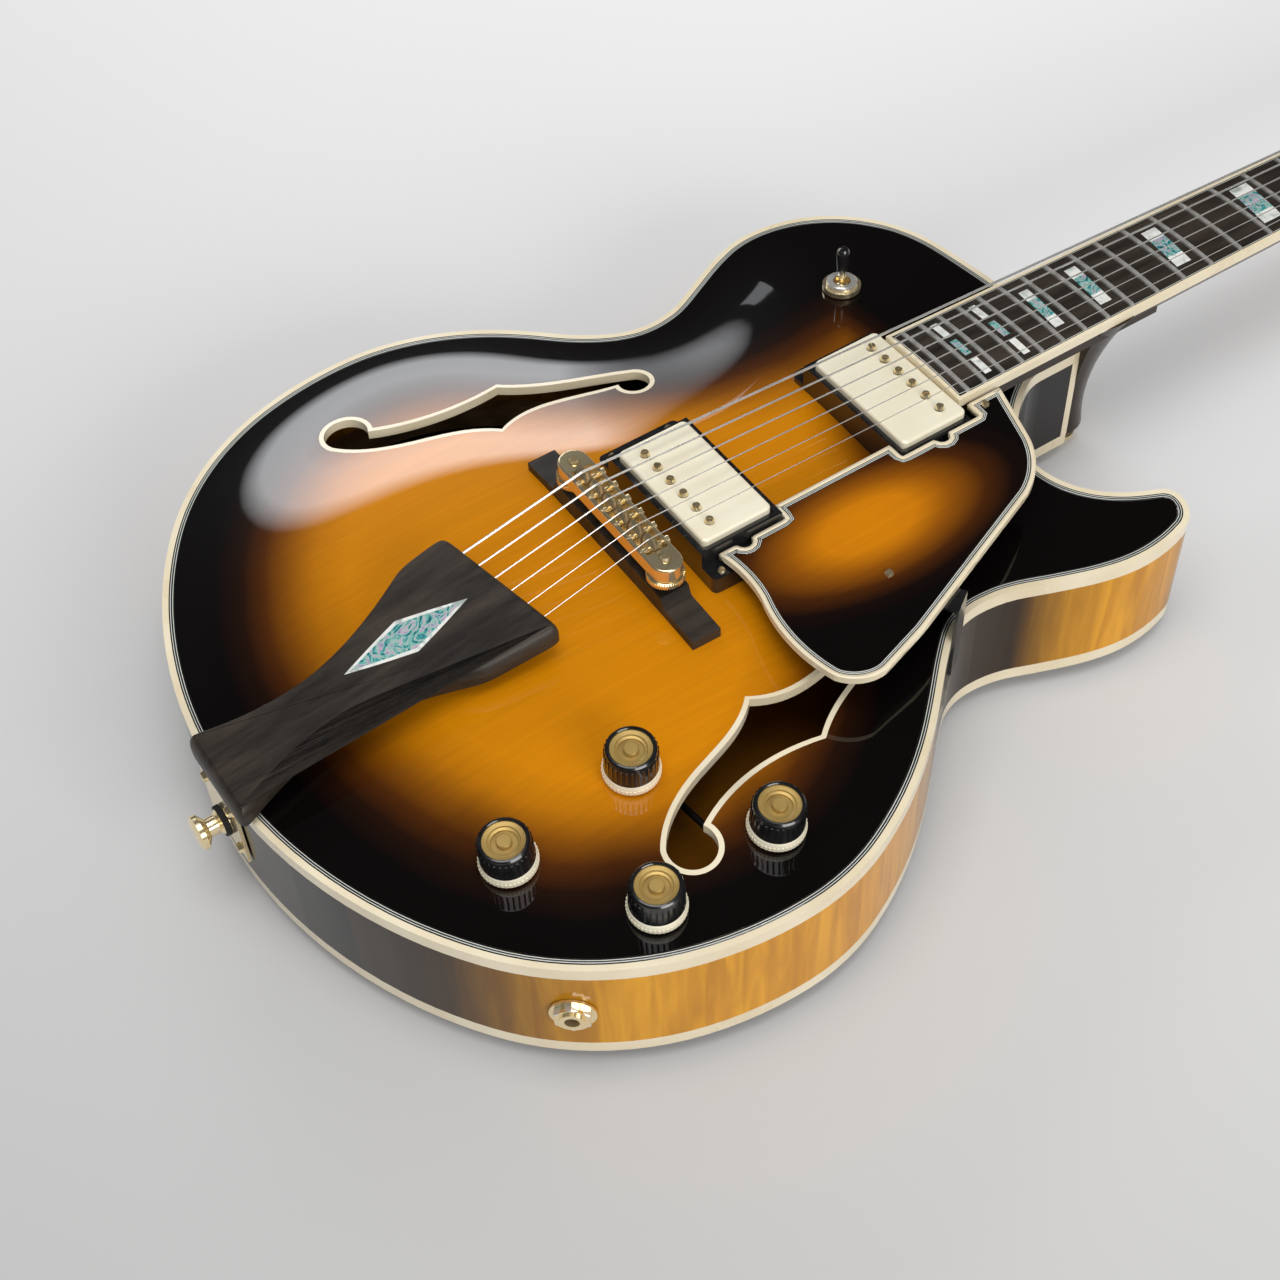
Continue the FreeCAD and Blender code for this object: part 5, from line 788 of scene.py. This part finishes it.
for polygon in guard.data.polygons:
    polygon.material_index = 0 if abs(polygon.normal.z) > 0.5 else 1
along, across = [(corners(guard)[:, axis] - GUARD_MIDDLE[axis]) / GUARD_GLOW[axis] for axis in (0, 1)]
mark(guard.data, "reach", np.hypot(along, across))
stands_for(guard, "pickguard")
edge_lines("guard_edge", upper_loops("pickguard")[0], GUARD_EDGE, step=0.002)

# %% [markdown]
# ## Turned pieces
# Knobs, washers and nuts are turned on a lathe, so the script has a lathe too: a list of radius and
# height pairs spun round an axis. Each pair becomes a ring of vertices, and faces join each ring to the
# next.

# %% Lathe
def lathe_frame(place, axis):
    """A matrix with its z along an axis at a place."""
    turn = Vector(axis).to_track_quat("Z", "X").to_matrix().to_4x4()
    return Matrix.Translation(place) @ turn


def circle(radius, height, segments):
    """Points of a ring round z, from millimetres; with no radius it is one point."""
    if radius == 0:
        return [(0, 0, height / 1000)]
    angles = [2 * math.pi * turn / segments for turn in range(segments)]
    return [(radius / 1000 * math.cos(angle), radius / 1000 * math.sin(angle), height / 1000)
            for angle in angles]


def skin(work, rings):
    """Faces from each ring of vertices to the next; a ring of one vertex is a tip."""
    faces = []
    for lower, upper in zip(rings, rings[1:]):
        for turn in range(max(len(lower), len(upper))):
            around = [ring[index % len(ring)] for ring, index in
                      ((lower, turn), (lower, turn + 1), (upper, turn + 1), (upper, turn))]
            faces.append(work.faces.new(list(dict.fromkeys(around))))
    return faces


def turned(name, parts, place, axis, body, segments=64):
    """Spin profiles round an axis: parts are (finish, [(radius, height) in millimetres])."""
    work = bmesh.new()
    for number, (finish, profile) in enumerate(parts):
        rings = [[work.verts.new(point) for point in circle(radius, height, segments)]
                 for radius, height in profile]
        for face in skin(work, rings):
            face.material_index = number
    bmesh.ops.recalc_face_normals(work, faces=work.faces)
    bmesh.ops.transform(work, matrix=lathe_frame(place, axis), verts=work.verts)
    piece = piece_from(work, name, parts[0][0], 28)
    for finish, profile in parts[1:]:
        piece.data.materials.append(finish)
    fasten(piece, body)
    return piece

# %% [markdown]
# Serrations on a skirt, ribs on a grip and the knurl of a wheel are all small bars set round a circle.
# The tree puts a cube on each point of a circle and turns it to face outwards.

# %% A ring of ribs
rib_tree, put, sockets = new_tree("rib_ring", Count="Int", Radius="Float", Depth="Float", Width="Float",
                                  Tall="Float", Height="Float")
ring = put("GeometryNodeMeshCircle", vertices=sockets["Count"], radius=sockets["Radius"])
size = put("ShaderNodeCombineXYZ", x=sockets["Depth"], y=sockets["Width"], z=sockets["Tall"])
bar = put("GeometryNodeMeshCube", size=size)
spot = put("GeometryNodeInputPosition")
outward = put("FunctionNodeAlignRotationToVector", vector=spot, axis="X")
bars = put("GeometryNodeInstanceOnPoints", points=ring, instance=bar, rotation=outward)
rise = put("ShaderNodeCombineXYZ", z=sockets["Height"])
end_tree(rib_tree, put("GeometryNodeTransform", geometry=bars, translation=rise), sockets["Finish"])


def ribs(name, count, sizes, finish, place, axis, body):
    """Ribs round an axis; sizes are a radius, depth, width, tallness and height in millimetres."""
    radius, depth, width, tall, height = sizes
    piece = grown(rib_tree, name, bpy.data.meshes.new("seed"), count=count, finish=finish,
                  **in_metres(radius=radius, depth=depth, width=width, tall=tall, height=height))
    piece.data.transform(lathe_frame(place, axis))
    fasten(piece, body)

# %% [markdown]
# A knob has three turned parts: a gold skirt, a black grip and a dished gold top with a small boss. Skirt
# and grip get their ribs, so that fingers hold them.

# %% Knobs
KNOBS = ("neck_volume_knob", "neck_tone_knob", "bridge_tone_knob", "bridge_volume_knob")
SKIRT = [(8.6, 1.6), (12.2, 1.6), (12.7, 2.1), (12.6, 4.2), (12.1, 6.6), (11.8, 7.0)]
GRIP = [(11.9, 6.9), (11.75, 7.4), (11.2, 18.4), (10.9, 19.3), (10.2, 19.9), (9.5, 20.0), (9.15, 19.7),
        (9.1, 18.6)]
DISH = [(9.2, 18.9), (8.7, 18.9), (7.4, 18.5), (7.1, 18.5), (6.8, 17.9), (5.7, 17.6), (5.5, 16.8),
        (3.3, 16.8), (3.2, 18.9), (2.9, 19.3), (0, 19.3)]
KNOB_PARTS = [(satin_gold, SKIRT), (black_plastic, GRIP), (amber_gold, DISH)]
SERRATIONS, GRIP_RIBS = (12.45, 0.7, 0.9, 2.2, 3.2), (11.45, 0.55, 0.9, 9.6, 12.6)
for knob in KNOBS:
    joint = JOINTS[knob + "_turn"]
    place, axis = joint["pos_m"], joint["axis"]
    body = turned(knob + "_turned", KNOB_PARTS, place, axis, knob)
    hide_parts(knob)
    ribs(knob + "_serrations", 44, SERRATIONS, satin_gold, place, axis, knob)
    ribs(knob + "_grip_ribs", 30, GRIP_RIBS, black_plastic, place, axis, knob)
print("knobs turned:", len(KNOBS))

# %% [markdown]
# ## Screws
# Screws hold the guard, rings, bracket and covers, and the pickups have a row of slotted pole screws.
# They are grown on points: each point carries the way its screw faces, its radius and the turn of its
# slot. One head of radius 1 is made in the tree, and its slot is cut with a blade.

# %% Slotted screws
screw_tree, put, sockets = new_tree("slotted_screws")
facing = put("GeometryNodeInputNamedAttribute", name="facing", data_type="FLOAT_VECTOR")
breadth = put("GeometryNodeInputNamedAttribute", name="breadth", data_type="FLOAT")
spin = put("GeometryNodeInputNamedAttribute", name="spin", data_type="FLOAT")
head = put("GeometryNodeMeshCone", vertices=20, radius_top=0.74, radius_bottom=1.0, depth=0.62)
blade = put("GeometryNodeMeshCube", size=(2.4, 0.26, 0.5))
high_blade = put("GeometryNodeTransform", geometry=blade, translation=(0, 0, 0.62))
slotted = put("GeometryNodeMeshBoolean", mesh_1=head, mesh_2=high_blade, operation="DIFFERENCE")
upright = put("FunctionNodeAlignRotationToVector", vector=facing, axis="Z")
angle = put("ShaderNodeCombineXYZ", z=spin)
spun = put("FunctionNodeRotateRotation", rotation=upright, rotate_by=angle, rotation_space="LOCAL")
heads = put("GeometryNodeInstanceOnPoints", points=sockets["Seed"], instance=slotted, rotation=spun,
            scale=breadth)
end_tree(screw_tree, heads, sockets["Finish"])


def screws(name, spots):
    """Slotted gold heads: (place, facing, radius in millimetres, turn of the slot in degrees)."""
    places, ways, radii, turns = zip(*spots)
    seed = bpy.data.meshes.new("spots")
    seed.from_pydata([tuple(place) for place in places], [], [])
    mark(seed, "facing", [tuple(way) for way in ways], "FLOAT_VECTOR")
    mark(seed, "breadth", [radius / 1000 for radius in radii])
    mark(seed, "spin", [math.radians(turn) for turn in turns])
    fasten(grown(screw_tree, name, seed, finish=gold), "guitar")
    print(name, "heads:", len(spots))


def landing(node, x, y):
    """Where a line straight down through x and y first meets a solid, and the way that face looks."""
    work = welded(node)
    place, normal = BVHTree.FromBMesh(work).ray_cast(Vector((x, y, 1.0)), Vector((0, 0, -1)))[:2]
    work.free()
    if place is None:
        raise ValueError("nothing of %s lies under %.3f, %.3f" % (node, x, y))
    return place, normal

# %% [markdown]
# The pole screws stand under the strings, one row on each pickup. The others sit where their piece has
# its corners; those on a curved or sloping face are dropped on it from above.

# %% Where the screws sit
STRING_PITCH = 0.0104  # between two strings at the bridge
COVER_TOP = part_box("pickup_covers")[1].z
PICKUPS = [(SADDLE_LINE + 0.1547, 1, COVER_TOP - 0.005), (SADDLE_LINE + 0.0403, -1, COVER_TOP)]
POLE_ROW, POLE_PROUD = 0.0095, 0.00045
GUARD_SPOTS = ((0.185, -0.035), (0.081, -0.093))
STUD_X, STUD_Y, STUD_TOP = -0.3047, 0.037, 0.11262
TAIL_WAY, PLATE_X = (-1, 0, 0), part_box("tailpiece_bracket")[0].x

screws("pole_screws", [((middle + side * POLE_ROW, STRING_PITCH * (2.5 - string), top + POLE_PROUD), UPWARD,
                        2.45, 25 + 67 * string + 40 * side)
                       for middle, side, top in PICKUPS for string in range(6)])
screws("ring_screws", [(landing("pickup_rings", middle + along, across)[0], UPWARD, 1.9, 35 + 900 * along)
                       for middle, side, top in PICKUPS
                       for along in (-0.016, 0.016) for across in (-0.0445, 0.0445)])
screws("guard_screws", [(landing("pickguard", SADDLE_LINE + along, across)[0], UPWARD, 2.1, 20)
                        for along, across in GUARD_SPOTS])
screws("bracket_screws", [((PLATE_X, across, height), TAIL_WAY, 2.9, 30)
                          for across in (-0.0115, 0.0115) for height in (0.0365, 0.0640)])
screws("stud_tops", [((STUD_X, across, STUD_TOP), UPWARD, 2.4, 15) for across in (-STUD_Y, STUD_Y)])
cover_low, cover_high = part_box("truss_rod_cover")
screws("cover_screws", [(*landing("truss_rod_cover", cover_low.x + share * (cover_high.x - cover_low.x), 0),
                         1.7, 40) for share in (0.16, 0.84)])

# %% [markdown]
# ## Washers, nuts and the switch
# Under the end pin sits a felt washer. The jack and the switch are held by nuts on polished washers; the
# switch has a black tip pushed over its lever. The bridge's thumbwheels get their knurl.

# %% Small turned pieces
PIN_HEIGHT, WHEEL_HEIGHT = 0.045, 0.1029
SWITCH_AXIS, JACK_WAY = Vector((0.051334, 0.062038, 0.996753)), Vector((-0.6176, -0.7865, 0))
WASHER = [(4.6, 0.05), (7.2, 0.05), (7.5, 0.6), (7.5, 2.6), (7.2, 3.0), (4.6, 3.0)]
RING_NUT = [(5.9, 3.2), (7.6, 3.2), (7.9, 3.6), (7.7, 5.2), (7.2, 5.6), (5.0, 5.6), (4.6, 5.0)]
TIP_CAP = [(1.8, 11.8), (2.7, 11.8), (2.85, 12.4), (3.45, 19.8), (3.5, 21.6), (3.2, 23.4), (2.3, 24.7),
           (1.1, 25.05), (0, 25.1)]
HEX_NUT = [(5.6, 1.6), (8.7, 1.6), (8.7, 4.0), (8.2, 4.45), (5.6, 4.5)]
NUT_RIBS, KNURL = (7.8, 0.4, 0.7, 1.5, 4.4), (8.75, 0.35, 0.6, 3.2, 0.0)

turned("felt_washer", [(felt, WASHER)], (PLATE_X, 0, PIN_HEIGHT), TAIL_WAY, "guitar")
pivot = JOINTS["switch_tip"]["pos_m"]
turned("switch_ring_nut", [(nickel, RING_NUT)], pivot, SWITCH_AXIS, "guitar")
ribs("switch_nut_ribs", 30, NUT_RIBS, nickel, pivot, SWITCH_AXIS, "guitar")
turned("switch_tip_cap", [(black_plastic, TIP_CAP)], pivot, SWITCH_AXIS, "switch_lever")
jack = frame["record"]["mounts"][0]["pos_m"]
turned("jack_hex_nut", [(nickel, HEX_NUT)], jack, JACK_WAY, "guitar", segments=6)
for wheel in ("thumbwheel_bass", "thumbwheel_treble"):
    x, y = JOINTS[wheel + "_turn"]["pos_m"][:2]
    ribs(wheel + "_knurl", 48, KNURL, gold, (x, y, WHEEL_HEIGHT), UPWARD, wheel)
print("turned: washer, two nuts, tip cap, two knurls")

# %% [markdown]
# ## Tailpiece
# The strings end in a carved ebony plate: broad in front, drawn in to a waist, wider again at the tail
# and leaning a little to the treble side. A carver saws the outline first, so the script draws it first:
# two sides given by their half width, then rounded by taking the mean of neighbouring points some times.

# %% The tailpiece's outline
TAIL_SLOPE, TAIL_HEIGHT, TAIL_END = 0.1254, 13.5, -210.5
TAIL_LAST, TAIL_WAIST, TAIL_SHOULDER, TAIL_LEAN = -214.0, -160.0, -96.0, 8.0
END_HALF, WAIST_HALF, SHOULDER_HALF, FRONT_HALF = 27.5, 15.8, 37.0, 40.0
TAIL_FRONT = {1: -70.0, -1: -56.0}


def on_tailpiece(along, across, rise):
    """A point on the tailpiece's top plane; along is measured from the saddle line, in millimetres."""
    height = TAIL_HEIGHT + (along - TAIL_END) * TAIL_SLOPE + rise
    return Vector((SADDLE_LINE + along / 1000, across / 1000, RIM_TOP + height / 1000))


def tail_half(along):
    """Half of the width between the tail and the shoulders."""
    if along < TAIL_WAIST:
        share = (along - TAIL_WAIST) / (TAIL_LAST - TAIL_WAIST)
        return WAIST_HALF + (END_HALF - WAIST_HALF) * share ** 2
    share = (along - TAIL_WAIST) / (TAIL_SHOULDER - TAIL_WAIST)
    return WAIST_HALF + (SHOULDER_HALF - WAIST_HALF) * share ** 1.7


def tail_side(side):
    """Points along one side from the tail to the front; side is 1 for bass and -1 for treble."""
    points = []
    for along in np.linspace(TAIL_LAST, TAIL_SHOULDER, 40):
        lean = TAIL_LEAN * (along - TAIL_SHOULDER) / (TAIL_LAST - TAIL_SHOULDER)
        points.append((along, side * tail_half(along) - lean, 0))
    return points + [(TAIL_FRONT[side], side * FRONT_HALF, 0)]


tail_rim = spaced(tail_side(-1) + tail_side(1)[::-1], 1.5)[:, :2]
for _ in range(16):
    tail_rim = (np.roll(tail_rim, 1, axis=0) + 2 * tail_rim + np.roll(tail_rim, -1, axis=0)) / 4
print("tailpiece outline points:", len(tail_rim))

# %% [markdown]
# Then the carver files the upper edge away to a soft round. The script stacks rings on the outline that
# turn inwards as they rise. Each ring is given by how far inside the outline it lies and how far below
# the top face.

# %% The tailpiece's soft edge
SOFT_EDGE = [(0.0, 10.0), (0.0, 5.6), (0.4, 3.6), (1.3, 1.8), (2.4, 0.5), (3.4, 0.0)]


def plate(name, finish, outlines):
    """A closed plate on the tailpiece's plane, from (points, rise) outlines, the lowest first."""
    work = bmesh.new()
    rings = [[work.verts.new(on_tailpiece(along, across, rise)) for along, across in points]
             for points, rise in outlines]
    skin(work, rings)
    work.faces.new(rings[-1])
    work.faces.new(rings[0][::-1])
    bmesh.ops.recalc_face_normals(work, faces=work.faces)
    return piece_from(work, name, finish)


ahead = np.roll(tail_rim, -1, axis=0) - np.roll(tail_rim, 1, axis=0)
inward = np.stack([-ahead[:, 1], ahead[:, 0]], axis=1) / np.linalg.norm(ahead, axis=1)[:, None]
tailpiece = plate("tailpiece_wood", ebony, [(tail_rim + inward * inset, -down) for inset, down in SOFT_EDGE])
for polygon in tailpiece.data.polygons:
    polygon.use_smooth = len(polygon.vertices) == 4
stands_for(tailpiece, "tailpiece")

# %% [markdown]
# A long lozenge of shell with a silvery edge is let into the ebony. It lies in the sloping top plane of
# the tailpiece, so its corners are given on that plane.

# %% Inlay
INLAY_POINTS, INLAY_BOW, INLAY_FOOT = 48, 0.92, -0.3


def lozenge(name, finish, first, last, half_width, rise):
    """A flat four-cornered plate with slightly bowed sides."""
    rim = []
    for turn in range(INLAY_POINTS):
        angle = 2 * math.pi * turn / INLAY_POINTS
        cosine, sine = math.cos(angle), math.sin(angle)
        reach = 1 / (abs(cosine) + abs(sine)) ** INLAY_BOW
        rim.append(((first + last) / 2 + reach * cosine * (last - first) / 2, reach * sine * half_width))
    fasten(plate(name, finish, [(rim, INLAY_FOOT), (rim, rise)]), "guitar")


lozenge("inlay_border", pearl, -144, -81, 10.5, 0.06)
lozenge("inlay_shell", abalone, -140.5, -84.5, 8.4, 0.10)
print("inlay points:", INLAY_POINTS)

# %% [markdown]
# ## Strings
# Six strings thin out evenly from the lowest to the highest. They run from the tailpiece over the saddles
# and the nut to the posts. The bridge can be raised, so each string is made in two lengths that meet over
# its saddle. They meet where the saddle stands when it is slid right back, so that the string clears the
# saddle's slope in every place.

# %% Strings
TAIL_POINTS = [(-0.38777, 0.02723, 0.09792), (-0.38589, 0.01634, 0.09814), (-0.38402, 0.00545, 0.09836),
               (-0.38212, -0.00545, 0.09852), (-0.38024, -0.01636, 0.09874), (-0.37837, -0.02727, 0.09897)]
SADDLE_X, SADDLE_TOP = (-0.30752, -0.30704, -0.30656, -0.30712, -0.30656, -0.30592), 0.11580
NUT_X, NUT_PITCH, NUT_TOP = 0.34413, 0.0072, 0.0947
POST_POINTS = [(0.39036, 0.02064, 0.08689), (0.43007, 0.02078, 0.0767), (0.46978, 0.02089, 0.0665),
               (0.46978, -0.02098, 0.0665), (0.43007, -0.02105, 0.0767), (0.39036, -0.0211, 0.08689)]
THICK, THIN = 0.00066, 0.00020
RADII = [THICK * (THIN / THICK) ** (string / 5) for string in range(6)]
RUNS = [[TAIL_POINTS[string], (SADDLE_X[string], STRING_PITCH * (2.5 - string), SADDLE_TOP),
         (NUT_X, NUT_PITCH * (2.5 - string), NUT_TOP), POST_POINTS[string]] for string in range(6)]

wire_tree, put, sockets = new_tree("wire")
run = put("GeometryNodeMeshToCurve", mesh=sockets["Seed"])
thickness = put("GeometryNodeInputNamedAttribute", name="thickness", data_type="FLOAT")
circlet = put("GeometryNodeCurvePrimitiveCircle", resolution=10, radius=1.0)
tube = put("GeometryNodeCurveToMesh", curve=run, profile_curve=circlet, scale=thickness, fill_caps=True)
end_tree(wire_tree, tube, sockets["Finish"])


def wires(name, runs, radii):
    """Round wire along each run of points."""
    seed = path_mesh(runs, False)
    mark(seed, "thickness", [radius for run, radius in zip(runs, radii) for point in run])
    piece = grown(wire_tree, name, seed, finish=nickel)
    for polygon in piece.data.polygons:
        polygon.use_smooth = True
    return piece


tail_strings = wires("tail_strings", [points[:2] for points in RUNS], RADII)
played_strings = wires("played_strings", [points[1:] for points in RUNS], RADII)
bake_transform(tail_strings)
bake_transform(played_strings)
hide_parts("strings")
print("strings:", len(RUNS), "from", round(2000 * RADII[0], 2), "to", round(2000 * RADII[5], 2), "mm thick")

# %% [markdown]
# At the posts the strings are wound two and a half times, downwards, and the windings turn with their
# post. The bass and the treble side are wound in opposite senses, so that all strings run inside of their
# posts.

# %% Windings
WRAP_STEPS, WRAP_ANGLE = 60, math.radians(15)
WRAP_DROP = 0.15  # of the string's radius, at each step
for number, (points, radius) in enumerate(zip(RUNS, RADII), 1):
    post = JOINTS["post_%d_turn" % number]
    axis, foot = Vector(post["axis"]), Vector(post["pos_m"])
    start = Vector(points[3]) - foot
    height = start.dot(axis)
    spoke = start - axis * height
    sense = 1 if number < 4 else -1
    coil = []
    for step in range(WRAP_STEPS + 1):
        turn = Matrix.Rotation(WRAP_ANGLE * step * sense, 3, axis)
        coil.append(foot + axis * (height - WRAP_DROP * radius * step) + turn @ spoke)
    fasten(wires("post_wrap_%d" % number, [coil], [radius]), "tuner_post_%d" % number)
print("windings:", round(math.degrees(WRAP_STEPS * WRAP_ANGLE) / 360, 1), "turns each")

# %% [markdown]
# ## Finishes of the solids that stay as they are
# Most solids already have the right shape and only need their finish. They are listed by what they are
# made of, so that a piece which is added later is easy to put in the right row.

# %% Finishes
PAINTED = [
    (rib_maple, ("side_ribs",)),
    (neck_maple, ("neck",)),
    (bare_wood, ("linings", "end_blocks", "tone_bars")),
    (cream, ("body_binding", "soundhole_binding", "fretboard_binding")),
    (ebony, ("fretboard", "bridge_base", "headstock_veneer")),
    (block_shell, ("fret_inlays",)),
    (bone, ("nut",)),
    (nickel, ("frets", "truss_rod", "strings")),
    (satin_gold, ("pickup_covers",)),
    (black_plastic, ("pickup_rings", "pickup_coils", "pickguard_bracket", "truss_rod_cover")),
    (rubber, ("wiring",)),
]
GOLDEN = ("tuner_", "saddle", "thumbwheel", "bridge_frame", "bridge_studs", "strap_", "tailpiece_bracket",
          "output_jack", "switch_", "pots")
PAINTED.append((gold, [node for node in NODES if node.startswith(GOLDEN)]))
for finish, names in PAINTED:
    for node in names:
        data = NODES[node].data
        data.materials.clear()
        data.materials.append(finish)
print("painted:", sum(len(names) for finish, names in PAINTED))
